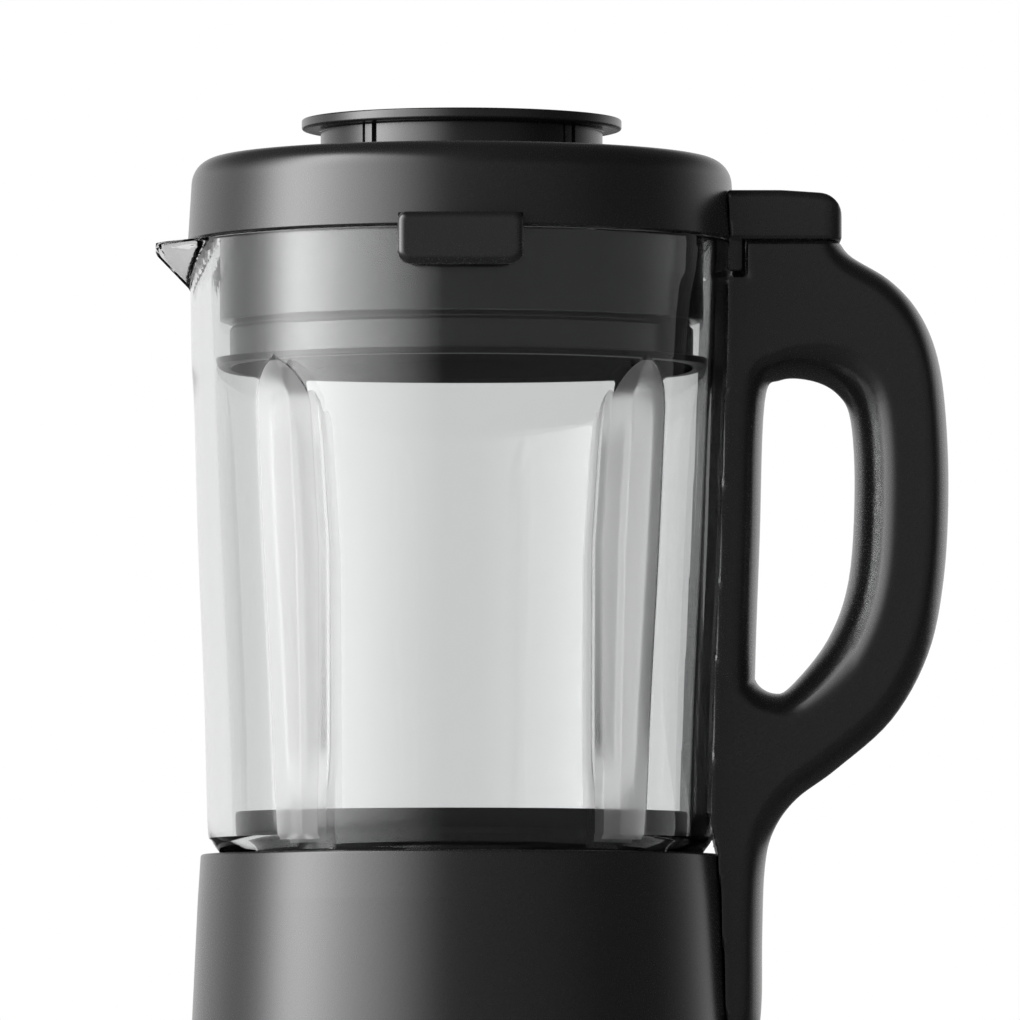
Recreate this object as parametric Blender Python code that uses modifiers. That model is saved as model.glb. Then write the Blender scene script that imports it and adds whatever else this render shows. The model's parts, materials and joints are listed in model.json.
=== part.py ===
"""Soy milk maker: a motor base, a lift-off heated glass jug with its handle, and a lid with a feed cap.

Metres, +Z up. The origin is the middle of the bounding box on the counter, and the machine's
axis stands to one side of it because the handle reaches further than the base.
"""

import math

import bmesh
import bpy
from mathutils import Matrix, Vector

MM = 0.001

# Fits
CLEARANCE = 0.3 * MM
RUNNING_CLEARANCE = 0.5 * MM
OVERRUN = 2.0 * MM
MERGE_DISTANCE = 0.001 * MM

# Facets of turned parts, and the edge angle that stays sharp
LARGE_STEPS = 48
MIDDLE_STEPS = 32
SMALL_STEPS = 16
TINY_STEPS = 8
SHARP_ANGLE = math.radians(32)

# Levels above the counter
FOOT_HEIGHT = 4.0 * MM
BASE_TOP_LEVEL = 152.0 * MM
COLLAR_TOP_LEVEL = 214.0 * MM
RIM_LEVEL = 397.4 * MM
LID_TOP_LEVEL = 423.0 * MM
CAP_RISE = 11.7 * MM
CAP_TOP_LEVEL = LID_TOP_LEVEL + CAP_RISE

# Plan sizes
BASE_BOTTOM_RADIUS = 94.0 * MM
BASE_TOP_RADIUS = 81.8 * MM
HANDLE_REACH = 146.25 * MM
HANDLE_HALF_THICKNESS = 19.0 * MM

# Base housing
BASE_WALL = 3.0 * MM
BASE_FOOT_CHAMFER = 2.0 * MM
BASE_TOP_SLOPE = 0.045
BASE_PROFILE_SHARES = (0.0, 0.25, 0.5, 0.75, 1.0)
BASE_SHOULDER = 1.2 * MM

# Bottom cover and feet
COVER_THICKNESS = 3.0 * MM
VENT_COUNT = 8
VENT_LENGTH = 24.0 * MM
VENT_WIDTH = 4.0 * MM
VENT_CENTRE_RADIUS = 52.0 * MM
PEDESTAL_RADIUS = 29.0 * MM
PEDESTAL_WALL = 3.0 * MM
PEDESTAL_HEIGHT = 15.0 * MM
BOARD_POST_HEIGHT = 24.0 * MM
BOARD_POST_DEPTH = 6.0 * MM
BOARD_POST_WIDTH = 12.0 * MM
BOARD_SLOT_DEPTH = 4.0 * MM
FOOT_RADIUS = 9.0 * MM
FOOT_EDGE = 1.0 * MM
FOOT_INSET = 20.0 * MM

# Top deck
DECK_FLOOR = 3.0 * MM
DECK_WELL_RADIUS = 58.0 * MM
DECK_WELL_DEPTH = 10.0 * MM
DECK_BORE_RADIUS = 13.0 * MM
DECK_RIM_DROP = 9.0 * MM

# Motor
MOTOR_CENTRE_LEVEL = 77.0 * MM
STATOR_LENGTH_X = 72.0 * MM
STATOR_LENGTH_Y = 60.0 * MM
STATOR_HEIGHT = 31.0 * MM
STATOR_BORE_RADIUS = 19.0 * MM
COIL_THICKNESS = 8.0 * MM
COIL_OUTER_WIDTH = 48.0 * MM
COIL_WINDOW_WIDTH = 30.0 * MM
COIL_OUTER_HEIGHT = 46.0 * MM
COIL_INNER_X = 20.4 * MM
ARMATURE_RADIUS = 18.0 * MM
MOTOR_SHAFT_RADIUS = 4.0 * MM
COMMUTATOR_RADIUS = 11.0 * MM
COMMUTATOR_LENGTH = 11.0 * MM
COMMUTATOR_LEVEL = 42.0 * MM
FAN_RADIUS = 28.0 * MM
FAN_HUB_RADIUS = 9.0 * MM
FAN_THICKNESS = 8.0 * MM
FAN_DISC = 1.6 * MM
FAN_BLADE_COUNT = 8
FAN_LEVEL = 102.0 * MM
BRACKET_THICKNESS = 4.0 * MM
BRACKET_LEG = 4.0 * MM
BRACKET_LEG_CENTRE = 33.0 * MM
BRACKET_WIDTH = 24.0 * MM
BRACKET_LEG_WIDTH = 16.0 * MM
UPPER_BRACKET_LEVEL = 114.0 * MM
LOWER_BRACKET_LEVEL = 28.0 * MM
BEARING_RADIUS = 11.0 * MM
BEARING_WIDTH = 7.0 * MM
BEARING_WALL = 3.0 * MM
BRUSH_WIDTH = 6.0 * MM
BRUSH_HEIGHT = 6.4 * MM
BRUSH_LENGTH = 14.0 * MM
BRUSH_HOLDER_WALL = 2.0 * MM
BRUSH_HOLDER_LENGTH = 20.0 * MM
DAMPER_HEIGHT = 5.4 * MM
DAMPER_WIDTH = 5.0 * MM

# Drive coupling between the motor and the jug
COUPLING_RADIUS = 9.5 * MM
COUPLING_PLAY = 0.8 * MM
COUPLING_SINK = 8.0 * MM
COUPLING_LEVEL = BASE_TOP_LEVEL - COUPLING_SINK
COUPLING_HEIGHT = 19.0 * MM
SOCKET_RADIUS = 14.5 * MM
SOCKET_GAP = 2.0 * MM
SOCKET_LEVEL = BASE_TOP_LEVEL + SOCKET_GAP
SOCKET_HEIGHT = 18.0 * MM
SOCKET_CEILING = 5.0 * MM
HEX_SIDES = 6

# Controls on the front of the base
PANEL_WIDTH = 60.0 * MM
PANEL_BOTTOM_LEVEL = 28.0 * MM
PANEL_TOP_LEVEL = 130.0 * MM
PANEL_THICKNESS = 3.0 * MM
KNOB_LEVEL = 88.0 * MM
KNOB_RADIUS = 21.0 * MM
KNOB_GRIP_RADIUS = 18.6 * MM
KNOB_PROUD = 8.2 * MM
KNOB_SKIRT = 3.0 * MM
KNOB_EDGE = 1.5 * MM
KNOB_STEM_RADIUS = 3.0 * MM
KNOB_STEM_LENGTH = 5.0 * MM
KNOB_WELL_DEPTH = 14.0 * MM
KNOB_WELL_WALL = 2.5 * MM
BUTTON_LEVEL = 46.0 * MM
BUTTON_RADIUS = 8.5 * MM
BUTTON_STEM_RADIUS = 4.0 * MM
BUTTON_HEAD = 4.0 * MM
BUTTON_TRAVEL = 1.5 * MM
BUTTON_STOP_GAP = 0.4 * MM
BUTTON_EDGE = 0.8 * MM
BUTTON_GAP = 2.4 * MM
BUTTON_PROUD = 0.6 * MM
BUTTON_SWITCH = 6.0 * MM
BUTTON_SWITCH_HEIGHT = 1.9 * MM
ENCODER_WIDTH = 11.0 * MM
ENCODER_DEPTH = 4.0 * MM
BOARD_THICKNESS = 1.6 * MM
CONTROL_BOARD_WIDTH = 56.0 * MM
CONTROL_BOARD_TOP_LEVEL = 124.0 * MM
POWER_BOARD_GAP = 10.4 * MM
POWER_BOARD_WIDTH = 60.0 * MM
POWER_BOARD_TOP_LEVEL = 110.0 * MM
CAPACITOR_RADIUS = 7.0 * MM
CAPACITOR_LENGTH = 14.0 * MM
CAPACITOR_LEVEL = 84.0 * MM

# Mains inlet at the back
INLET_LEVEL = 35.0 * MM
INLET_WIDTH = 28.0 * MM
INLET_HEIGHT = 20.0 * MM
INLET_INSET = 0.5 * MM
INLET_DEPTH = 22.0 * MM
INLET_RECESS = 16.0 * MM
INLET_WALL = 2.0 * MM
INLET_PIN_WIDTH = 2.0 * MM
INLET_PIN_HEIGHT = 5.0 * MM
INLET_PIN_LENGTH = 13.0 * MM
INLET_PIN_SPACING = 7.0 * MM

# Connector between base and jug, and the switch that feels the jug
CONNECTOR_CENTRE = 45.0 * MM
CONNECTOR_LENGTH = 20.0 * MM
CONNECTOR_WIDTH = 18.0 * MM
CONNECTOR_SINK = 1.6 * MM
CONNECTOR_TOP_LEVEL = BASE_TOP_LEVEL - CONNECTOR_SINK
CONNECTOR_HEIGHT = 24.4 * MM
CONNECTOR_BOTTOM_LEVEL = CONNECTOR_TOP_LEVEL - CONNECTOR_HEIGHT
CONNECTOR_FLANGE = 2.0 * MM
CONNECTOR_SLOT_DEPTH = 9.0 * MM
CONNECTOR_PIN_LENGTH = 7.0 * MM
CONNECTOR_PIN_THICKNESS = 1.2 * MM
CONNECTOR_PIN_WIDTH = 8.0 * MM
CONNECTOR_PIN_SPACING = 5.5 * MM
PLUG_HEIGHT = 12.0 * MM
JUG_SWITCH_CENTRE = 46.0 * MM
JUG_SWITCH_LENGTH = 20.0 * MM
JUG_SWITCH_WIDTH = 7.0 * MM
JUG_SWITCH_HEIGHT = 10.0 * MM
PLUNGER_RADIUS = 2.2 * MM
PLUNGER_TRAVEL = 1.5 * MM

# Collar that holds the glass, and the plate beneath it
COLLAR_WALL = 3.0 * MM
COLLAR_TOP_RADIUS = 78.2 * MM
COLLAR_SHOULDER_RADIUS = 79.1 * MM
COLLAR_SHOULDER_LEVEL = 200.0 * MM
COLLAR_BOTTOM_RADIUS = 81.3 * MM
COLLAR_EDGE = 0.9 * MM
COLLAR_MOUTH_RADIUS = 75.0 * MM
COLLAR_SHELF_RADIUS = 60.5 * MM
COLLAR_SHELF_THICKNESS = 3.0 * MM
PLATE_THICKNESS = 3.0 * MM
PLATE_BOSS_CLEARANCE = 0.8 * MM
PLATE_BORE_RADIUS = 17.0 * MM

# Glass
GLASS_OUTER = (
    (397.4 * MM, 81.4 * MM),
    (394.4 * MM, 81.4 * MM),
    (389.0 * MM, 81.45 * MM),
    (383.5 * MM, 81.45 * MM),
    (363.0 * MM, 81.2 * MM),
    (359.0 * MM, 81.0 * MM),
    (354.5 * MM, 80.75 * MM),
    (346.0 * MM, 80.3 * MM),
    (305.0 * MM, 79.1 * MM),
    (260.0 * MM, 77.25 * MM),
    (223.0 * MM, 75.9 * MM),
    (218.5 * MM, 74.6 * MM),
    (216.0 * MM, 73.5 * MM),
    (213.5 * MM, 72.2 * MM),
    (209.4 * MM, 68.4 * MM),
    (208.0 * MM, 65.0 * MM),
)
GLASS_INNER = (
    (208.0 * MM, 60.5 * MM),
    (212.0 * MM, 60.5 * MM),
    (212.0 * MM, 68.3 * MM),
    (260.0 * MM, 69.9 * MM),
    (320.0 * MM, 72.7 * MM),
    (383.5 * MM, 75.0 * MM),
    (389.0 * MM, 75.1 * MM),
    (394.4 * MM, 75.15 * MM),
    (397.4 * MM, 75.2 * MM),
)
SPOUT_REACH = 92.0 * MM
SPOUT_HALF_ANGLE = math.radians(22)
SPOUT_BOTTOM_LEVEL = 383.5 * MM
SPOUT_TIP_LEVEL = 394.4 * MM
SPOUT_SIDE_SHARE = 1.27
SPOUT_INNER_SHARE = 1.22
FLUTE_DEPTH = 3.9 * MM
FLUTE_TOP_LEVEL = 363.0 * MM
FLUTE_APEX_LENGTH = 17.0 * MM
FLUTE_APEX_POWER = 0.62
FLUTE_FOOT_LEVEL = 216.0 * MM
FLUTE_FOOT_LENGTH = 2.5 * MM
FLUTE_CENTRES = (
    (363.0 * MM, math.radians(46.8)),
    (350.5 * MM, math.radians(48.75)),
    (304.0 * MM, math.radians(49.8)),
    (219.0 * MM, math.radians(49.7)),
)
FLUTE_HALF_ANGLES = (
    (363.0 * MM, math.radians(8.2)),
    (350.5 * MM, math.radians(8.2)),
    (304.0 * MM, math.radians(9.2)),
    (219.0 * MM, math.radians(5.3)),
)
LEAST_FLUTE_SHARE = 0.4
FLUTE_STEPS = (5, 8)

# Heated floor of the jug
PAN_THICKNESS = 1.5 * MM
PAN_RIM_LEVEL = 225.6 * MM
PAN_FLOOR_LEVEL = 198.6 * MM
PAN_FLOOR_RADIUS = 56.0 * MM
PAN_SEAT_LEVEL = 214.2 * MM
PAN_BORE_RADIUS = 14.0 * MM
GASKET_WALL = 1.6 * MM
GASKET_TOP_LEVEL = 226.6 * MM
ELEMENT_RING_RADIUS = 40.0 * MM
ELEMENT_TUBE_RADIUS = 3.4 * MM
ELEMENT_POINTS = 17
ELEMENT_SWEEP = math.radians(310)
ELEMENT_TAIL = 14.0 * MM
THERMOSTAT_RADIUS = 9.0 * MM
THERMOSTAT_HEIGHT = 8.0 * MM
THERMOSTAT_CENTRE = 22.0 * MM

# Blade unit
HUB_RADIUS = 13.5 * MM
HUB_BOTTOM_LEVEL = 180.0 * MM
HUB_TOP_LEVEL = 209.0 * MM
HUB_FLANGE_RADIUS = 20.0 * MM
HUB_FLANGE = 2.4 * MM
HUB_BORE_RADIUS = 8.0 * MM
BUSH_TOP_LEVEL = 202.0 * MM
BLADE_SHAFT_RADIUS = 4.0 * MM
BLADE_STUD_RADIUS = 3.0 * MM
BLADE_THICKNESS = 1.6 * MM
BLADE_REACH = 33.0 * MM
BLADE_ROOT_WIDTH = 13.0 * MM
BLADE_TIP_WIDTH = 5.0 * MM
BLADE_ROOT_LENGTH = 9.0 * MM
LOWER_BLADE_DROP = 7.0 * MM
UPPER_BLADE_RISE = 11.0 * MM
BLADE_TURN = math.radians(90)
BLADE_GAP = 1.5 * MM
NUT_RADIUS = 5.5 * MM
NUT_HEIGHT = 6.0 * MM

# Handle, as (reach from the axis, level)
HANDLE_OUTLINE = (
    (113.85 * MM, 397.4 * MM),
    (117.3 * MM, 393.4 * MM),
    (128.55 * MM, 386.5 * MM),
    (136.9 * MM, 377.5 * MM),
    (142.4 * MM, 365.5 * MM),
    (145.2 * MM, 349.0 * MM),
    (HANDLE_REACH, 323.5 * MM),
    (144.75 * MM, 296.5 * MM),
    (140.0 * MM, 274.0 * MM),
    (129.15 * MM, 254.5 * MM),
    (112.5 * MM, 239.6 * MM),
    (100.35 * MM, 230.5 * MM),
    (93.6 * MM, 221.0 * MM),
    (91.0 * MM, 210.0 * MM),
    (90.2 * MM, 190.0 * MM),
    (90.0 * MM, 170.0 * MM),
    (88.6 * MM, 160.0 * MM),
    (84.6 * MM, 154.6 * MM),
    (78.0 * MM, 153.0 * MM),
)
HANDLE_HOLE = (
    (95.85 * MM, 356.5 * MM),
    (105.45 * MM, 356.3 * MM),
    (112.95 * MM, 352.3 * MM),
    (116.85 * MM, 344.5 * MM),
    (118.05 * MM, 323.5 * MM),
    (116.25 * MM, 296.5 * MM),
    (109.95 * MM, 278.5 * MM),
    (98.6 * MM, 264.3 * MM),
    (93.45 * MM, 262.4 * MM),
    (88.7 * MM, 265.4 * MM),
    (88.2 * MM, 271.0 * MM),
    (89.55 * MM, 308.5 * MM),
    (91.1 * MM, 350.0 * MM),
)
HANDLE_INNER_REACH = 62.0 * MM
HANDLE_CURVE_STEPS = 2
HANDLE_EDGE = 6.4 * MM
HANDLE_HOLE_EDGE = 8.0 * MM
HANDLE_EDGE_DEPTH = 17.0 * MM
HANDLE_EDGE_STEPS = 2
LEAST_CORNER_SHARE = 0.5
LEG_SLOT = 1.2 * MM
CHANNEL_HALF_WIDTH = 6.0 * MM
CHANNEL_DEPTH = 5.0 * MM
CHANNEL_BOTTOM_LEVEL = 226.0 * MM
CHANNEL_TOP_LEVEL = 382.0 * MM
STRIP_THICKNESS = 2.0 * MM
STRIP_HALF_WIDTH = 5.4 * MM
SCREW_LEVEL = 176.0 * MM
SCREW_RADIUS = 2.0 * MM
SCREW_HEAD_RADIUS = 4.2 * MM
SCREW_HEAD = 2.6 * MM
SCREW_REACH = 86.0 * MM
LID_SWITCH_CENTRE = 100.0 * MM
LID_SWITCH_LENGTH = 13.0 * MM
LID_SWITCH_WIDTH = 9.0 * MM
LID_SWITCH_HEIGHT = 14.0 * MM
LID_SWITCH_TOP_LEVEL = 390.0 * MM

# Lid
LID_BOTTOM_RADIUS = 82.3 * MM
LID_SHOULDER_RADIUS = 81.2 * MM
LID_CORNER_RADIUS = 7.5 * MM
LID_CORNER_STEPS = 4
LID_WALL = 2.5 * MM
FEED_RADIUS = 43.1 * MM
PLUG_TUBE_WALL = 2.0 * MM
PLUG_WALL = 2.5 * MM
PLUG_BAND_RADIUS = 72.6 * MM
PLUG_LOWER_RADIUS = 69.6 * MM
PLUG_GROOVE_LEVEL = 373.0 * MM
PLUG_GROOVE_DEPTH = 1.2 * MM
PLUG_BOTTOM_LEVEL = 360.2 * MM
PLUG_FLOOR = 2.4 * MM
LID_GASKET_RADIUS = 73.8 * MM
LID_GASKET_HEIGHT = 2.0 * MM
EAR_REACH = 113.9 * MM
EAR_TOP_LEVEL = 412.6 * MM
EAR_OUTER_TOP_LEVEL = 411.6 * MM
EAR_CORNER_RADIUS = 6.5 * MM
EAR_EDGE = 3.0 * MM
EAR_SHARP_ANGLE = math.radians(60)
EAR_LEG_START = 82.7 * MM
EAR_LEG_END = 84.3 * MM
EAR_LEG_BOTTOM_LEVEL = 390.1 * MM
TAB_WIDTH = 36.1 * MM
TAB_TOP_LEVEL = 401.3 * MM
TAB_BOTTOM_LEVEL = 385.3 * MM
TAB_BACK = 82.9 * MM
TAB_THICKNESS = 3.2 * MM
TAB_EDGE = 0.8 * MM
TAB_CORNER_RADIUS = 4.0 * MM
TAB_ROOT = 4.0 * MM

# Feed cap
CAP_RADIUS = 48.0 * MM
CAP_THICKNESS = 3.3 * MM
CAP_DOME = 0.2 * MM
CAP_DOME_SHARES = (0.55, 0.7)
CAP_EDGE = 0.8 * MM
CAP_NECK_RADIUS = 42.4 * MM
CAP_STEM_RADIUS = 41.2 * MM
CAP_WALL = 2.2 * MM
CAP_STEM_DEPTH = 31.0 * MM
CAP_BOTTOM_LEVEL = LID_TOP_LEVEL - CAP_STEM_DEPTH
CAP_NECK_DEPTH = 13.0 * MM
CAP_STEP_LEVEL = LID_TOP_LEVEL - CAP_NECK_DEPTH
CAP_GASKET_HEIGHT = 3.0 * MM
CAP_GASKET_GROOVE = 1.2 * MM

# Colours, roughness and metallic share of each material
MATERIALS = {
    "black_plastic": ((0.016, 0.016, 0.016), 0.32, 0.0),
    "matte_plastic": ((0.03, 0.03, 0.032), 0.6, 0.0),
    "grey_plastic": ((0.2, 0.2, 0.2), 0.55, 0.0),
    "glass": ((0.85, 0.88, 0.88), 0.03, 0.0),
    "rubber": ((0.02, 0.02, 0.02), 0.8, 0.0),
    "silicone": ((0.03, 0.03, 0.03), 0.6, 0.0),
    "stainless": ((0.6, 0.6, 0.6), 0.28, 1.0),
    "steel": ((0.5, 0.5, 0.5), 0.35, 1.0),
    "laminated_steel": ((0.3, 0.31, 0.32), 0.5, 1.0),
    "copper": ((0.72, 0.36, 0.2), 0.35, 1.0),
    "bronze": ((0.6, 0.42, 0.2), 0.4, 1.0),
    "aluminium": ((0.65, 0.65, 0.66), 0.4, 1.0),
    "carbon": ((0.02, 0.02, 0.02), 0.7, 0.0),
    "board": ((0.02, 0.15, 0.06), 0.55, 0.0),
}

AXIS_X = (BASE_BOTTOM_RADIUS - HANDLE_REACH) / 2

parts = None
cutters = None
axis_empty = None


def clear_scene():
    for obj in list(bpy.data.objects):
        bpy.data.objects.remove(obj, do_unlink=True)


def new_collection(name):
    collection = bpy.data.collections.new(name)
    bpy.context.scene.collection.children.link(collection)
    return collection


def make_materials():
    made = {}
    for name, (colour, roughness, metallic) in MATERIALS.items():
        material = bpy.data.materials.new(name)
        material.use_nodes = True
        shader = material.node_tree.nodes["Principled BSDF"]
        shader.inputs["Base Color"].default_value = (*colour, 1.0)
        shader.inputs["Roughness"].default_value = roughness
        shader.inputs["Metallic"].default_value = metallic
        if name == "glass":
            shader.inputs["Transmission Weight"].default_value = 1.0
        made[name] = material
    return made


def new_object(name, mesh):
    obj = bpy.data.objects.new(name, mesh)
    parts.objects.link(obj)
    return obj


def turned(name, profile, steps):
    """A solid turned about Z from a closed loop of (radius, level), outer side downwards."""
    mesh = bpy.data.meshes.new(name)
    points = [(radius, 0, level) for radius, level in profile]
    count = len(points)
    edges = [(i, (i + 1) % count) for i in range(count)]
    on_axis = profile[0][0] == 0 and profile[-1][0] == 0
    if on_axis:
        edges.pop()
    mesh.from_pydata(points, edges, [])
    obj = new_object(name, mesh)
    screw = obj.modifiers.new("Screw", "SCREW")
    screw.steps = steps
    screw.render_steps = steps
    screw.use_merge_vertices = True
    screw.merge_threshold = MERGE_DISTANCE
    return obj


def mesh_object(name, fill):
    """An object whose mesh the function `fill` builds in a bmesh."""
    mesh = bpy.data.meshes.new(name)
    bm = bmesh.new()
    fill(bm)
    bm.to_mesh(mesh)
    bm.free()
    return new_object(name, mesh)


def box(name, low, high):
    size = [b - a for a, b in zip(low, high)]
    centre = [(a + b) / 2 for a, b in zip(low, high)]
    place = Matrix.Translation(centre) @ Matrix.Diagonal((*size, 1))
    return mesh_object(name, lambda bm: bmesh.ops.create_cube(bm, size=1, matrix=place))


def rod(name, radius, start, end, steps, end_radius=None):
    """A cylinder or cone from the point start to the point end."""
    start = Vector(start)
    along = Vector(end) - start
    turn = along.to_track_quat("Z", "Y").to_matrix().to_4x4()
    place = Matrix.Translation(start + along / 2) @ turn
    last = radius if end_radius is None else end_radius

    def fill(bm):
        bmesh.ops.create_cone(
            bm,
            cap_ends=True,
            segments=steps,
            radius1=radius,
            radius2=last,
            depth=along.length,
            matrix=place,
        )

    return mesh_object(name, fill)


def outline_solid(name, outline, half_thickness):
    """A flat outline in the X-Z plane, thickened both ways in Y."""
    curve = bpy.data.curves.new(name, "CURVE")
    curve.dimensions = "2D"
    curve.fill_mode = "BOTH"
    curve.extrude = half_thickness
    spline = curve.splines.new("POLY")
    spline.points.add(len(outline) - 1)
    for point, (reach, level) in zip(spline.points, outline):
        point.co = (reach, level, 0, 1)
    spline.use_cyclic_u = True
    guide = bpy.data.objects.new(name + "_outline", curve)
    parts.objects.link(guide)
    guide.rotation_euler = (math.radians(90), 0, 0)
    return mesh_from_curve(name, guide)


def tube(name, points, radius, steps):
    """A round bar along a line of points, with closed ends."""
    curve = bpy.data.curves.new(name, "CURVE")
    curve.dimensions = "3D"
    curve.bevel_depth = radius
    curve.bevel_resolution = steps
    curve.use_fill_caps = True
    spline = curve.splines.new("POLY")
    spline.points.add(len(points) - 1)
    for point, place in zip(spline.points, points):
        point.co = (*place, 1)
    guide = bpy.data.objects.new(name + "_line", curve)
    parts.objects.link(guide)
    return mesh_from_curve(name, guide)


def mesh_from_curve(name, guide):
    bpy.context.view_layer.update()
    graph = bpy.context.evaluated_depsgraph_get()
    mesh = bpy.data.meshes.new_from_object(guide.evaluated_get(graph))
    mesh.transform(guide.matrix_world)
    bm = bmesh.new()
    bm.from_mesh(mesh)
    bmesh.ops.remove_doubles(bm, verts=bm.verts, dist=MERGE_DISTANCE)
    bmesh.ops.recalc_face_normals(bm, faces=bm.faces)
    bm.to_mesh(mesh)
    bm.free()
    bpy.data.objects.remove(guide, do_unlink=True)
    return new_object(name, mesh)


def combine(target, other, operation):
    """Cuts other from target or joins it on, and puts other away with the cutters."""
    modifier = target.modifiers.new(operation.title(), "BOOLEAN")
    modifier.operation = operation
    modifier.solver = "EXACT"
    modifier.object = other
    parts.objects.unlink(other)
    cutters.objects.link(other)
    other.hide_render = True
    other.display_type = "WIRE"
    return target


def cut(target, *others):
    for other in others:
        combine(target, other, "DIFFERENCE")
    return target


def join(target, *others):
    for other in others:
        combine(target, other, "UNION")
    return target


def keep(target, other):
    return combine(target, other, "INTERSECT")


def round_edges(obj, width, steps, angle=SHARP_ANGLE):
    bevel = obj.modifiers.new("Bevel", "BEVEL")
    bevel.width = width
    bevel.segments = steps
    bevel.limit_method = "ANGLE"
    bevel.angle_limit = angle
    return obj


def settle(obj):
    """Makes the modifiers' result the mesh, so that sharp edges can be marked by their angle."""
    bpy.context.view_layer.update()
    graph = bpy.context.evaluated_depsgraph_get()
    mesh = bpy.data.meshes.new_from_object(obj.evaluated_get(graph))
    obj.modifiers.clear()
    obj.data = mesh
    return obj


def finish(obj, material, origin=(0, 0, 0)):
    """Sets the material, the shading, the origin and the parent of a finished part."""
    settle(obj)
    obj.data.materials.clear()
    obj.data.materials.append(material)
    obj.data.shade_smooth()
    obj.data.set_sharp_from_angle(angle=SHARP_ANGLE)
    obj.data.transform(Matrix.Translation(-Vector(origin)))
    obj.location = origin
    obj.parent = axis_empty
    return obj


def base_radius(level):
    """The base flares downwards from its top in a gentle curve."""
    drop = BASE_TOP_LEVEL - level
    height = BASE_TOP_LEVEL - FOOT_HEIGHT
    spread = BASE_BOTTOM_RADIUS - BASE_TOP_RADIUS - BASE_TOP_SLOPE * height
    return BASE_TOP_RADIUS + BASE_TOP_SLOPE * drop + spread * (drop / height) ** 2


def base_reach():
    return max(BASE_BOTTOM_RADIUS, BASE_TOP_RADIUS)


def knob_face():
    return -base_radius(KNOB_LEVEL) - KNOB_PROUD


def knob_well_floor():
    return knob_face() + KNOB_WELL_DEPTH + CLEARANCE


def control_board_reach():
    """The front board stands right behind the knob's encoder."""
    encoder_front = knob_well_floor() + KNOB_WELL_WALL + CLEARANCE
    return -encoder_front - ENCODER_DEPTH - CLEARANCE


def power_board_reach():
    """The rear board leaves room for its capacitor in front of the stator."""
    capacitor_end = STATOR_LENGTH_Y / 2 + POWER_BOARD_GAP + CAPACITOR_LENGTH
    return capacitor_end + BOARD_THICKNESS


def button_face():
    return -base_radius(BUTTON_LEVEL) - BUTTON_PROUD


def button_stem_end():
    """The stem stops just short of its switch when the button is pressed home."""
    switch_face = control_board_reach() + BUTTON_SWITCH_HEIGHT
    return switch_face + BUTTON_STOP_GAP + BUTTON_TRAVEL


def inlet_face():
    return base_radius(INLET_LEVEL) - INLET_INSET


def foot_circle_radius():
    return BASE_BOTTOM_RADIUS - FOOT_INSET


def between(table, level):
    """The radius at a level, read from a table of (level, radius) rows that runs downwards."""
    for (upper, first), (lower, second) in zip(table, table[1:]):
        if lower <= level <= upper:
            return first + (second - first) * (upper - level) / (upper - lower)
    return table[-1][1]


def base_levels():
    low = FOOT_HEIGHT + CLEARANCE
    high = BASE_TOP_LEVEL - CLEARANCE - BASE_SHOULDER
    return [high + (low - high) * share for share in BASE_PROFILE_SHARES]


def shell_between(name, outer_gap, inner_gap, low, high, steps):
    """A band of the base's cone between two offsets inwards from its outer face."""
    outer = [(base_radius(z) - outer_gap, z) for z in (high, (low + high) / 2, low)]
    inner = [(base_radius(z) - inner_gap, z) for z in (low, (low + high) / 2, high)]
    return turned(name, outer + inner, steps)


def base_housing():
    levels = base_levels()
    top = BASE_TOP_LEVEL - CLEARANCE
    outer = [(base_radius(top) - BASE_SHOULDER, top)]
    outer += [(base_radius(z), z) for z in levels[:-1]]
    low = levels[-1]
    outer += [(base_radius(low), low + BASE_FOOT_CHAMFER)]
    outer += [(base_radius(low) - BASE_FOOT_CHAMFER / 2, low)]
    inner = [(base_radius(z) - BASE_WALL, z) for z in reversed(levels[::2])]
    inner[-1] = (base_radius(top) - BASE_WALL, top)
    housing = turned("base_housing", outer + inner, LARGE_STEPS)
    window = box(
        "panel_window",
        (-PANEL_WIDTH / 2, -base_reach() - OVERRUN, PANEL_BOTTOM_LEVEL),
        (PANEL_WIDTH / 2, -PANEL_WIDTH / 2, PANEL_TOP_LEVEL),
    )
    half_width = INLET_WIDTH / 2 + CLEARANCE
    half_height = INLET_HEIGHT / 2 + CLEARANCE
    inlet_window = box(
        "inlet_window",
        (-half_width, INLET_WIDTH, INLET_LEVEL - half_height),
        (half_width, base_reach() + OVERRUN, INLET_LEVEL + half_height),
    )
    return cut(housing, window, inlet_window)


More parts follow.
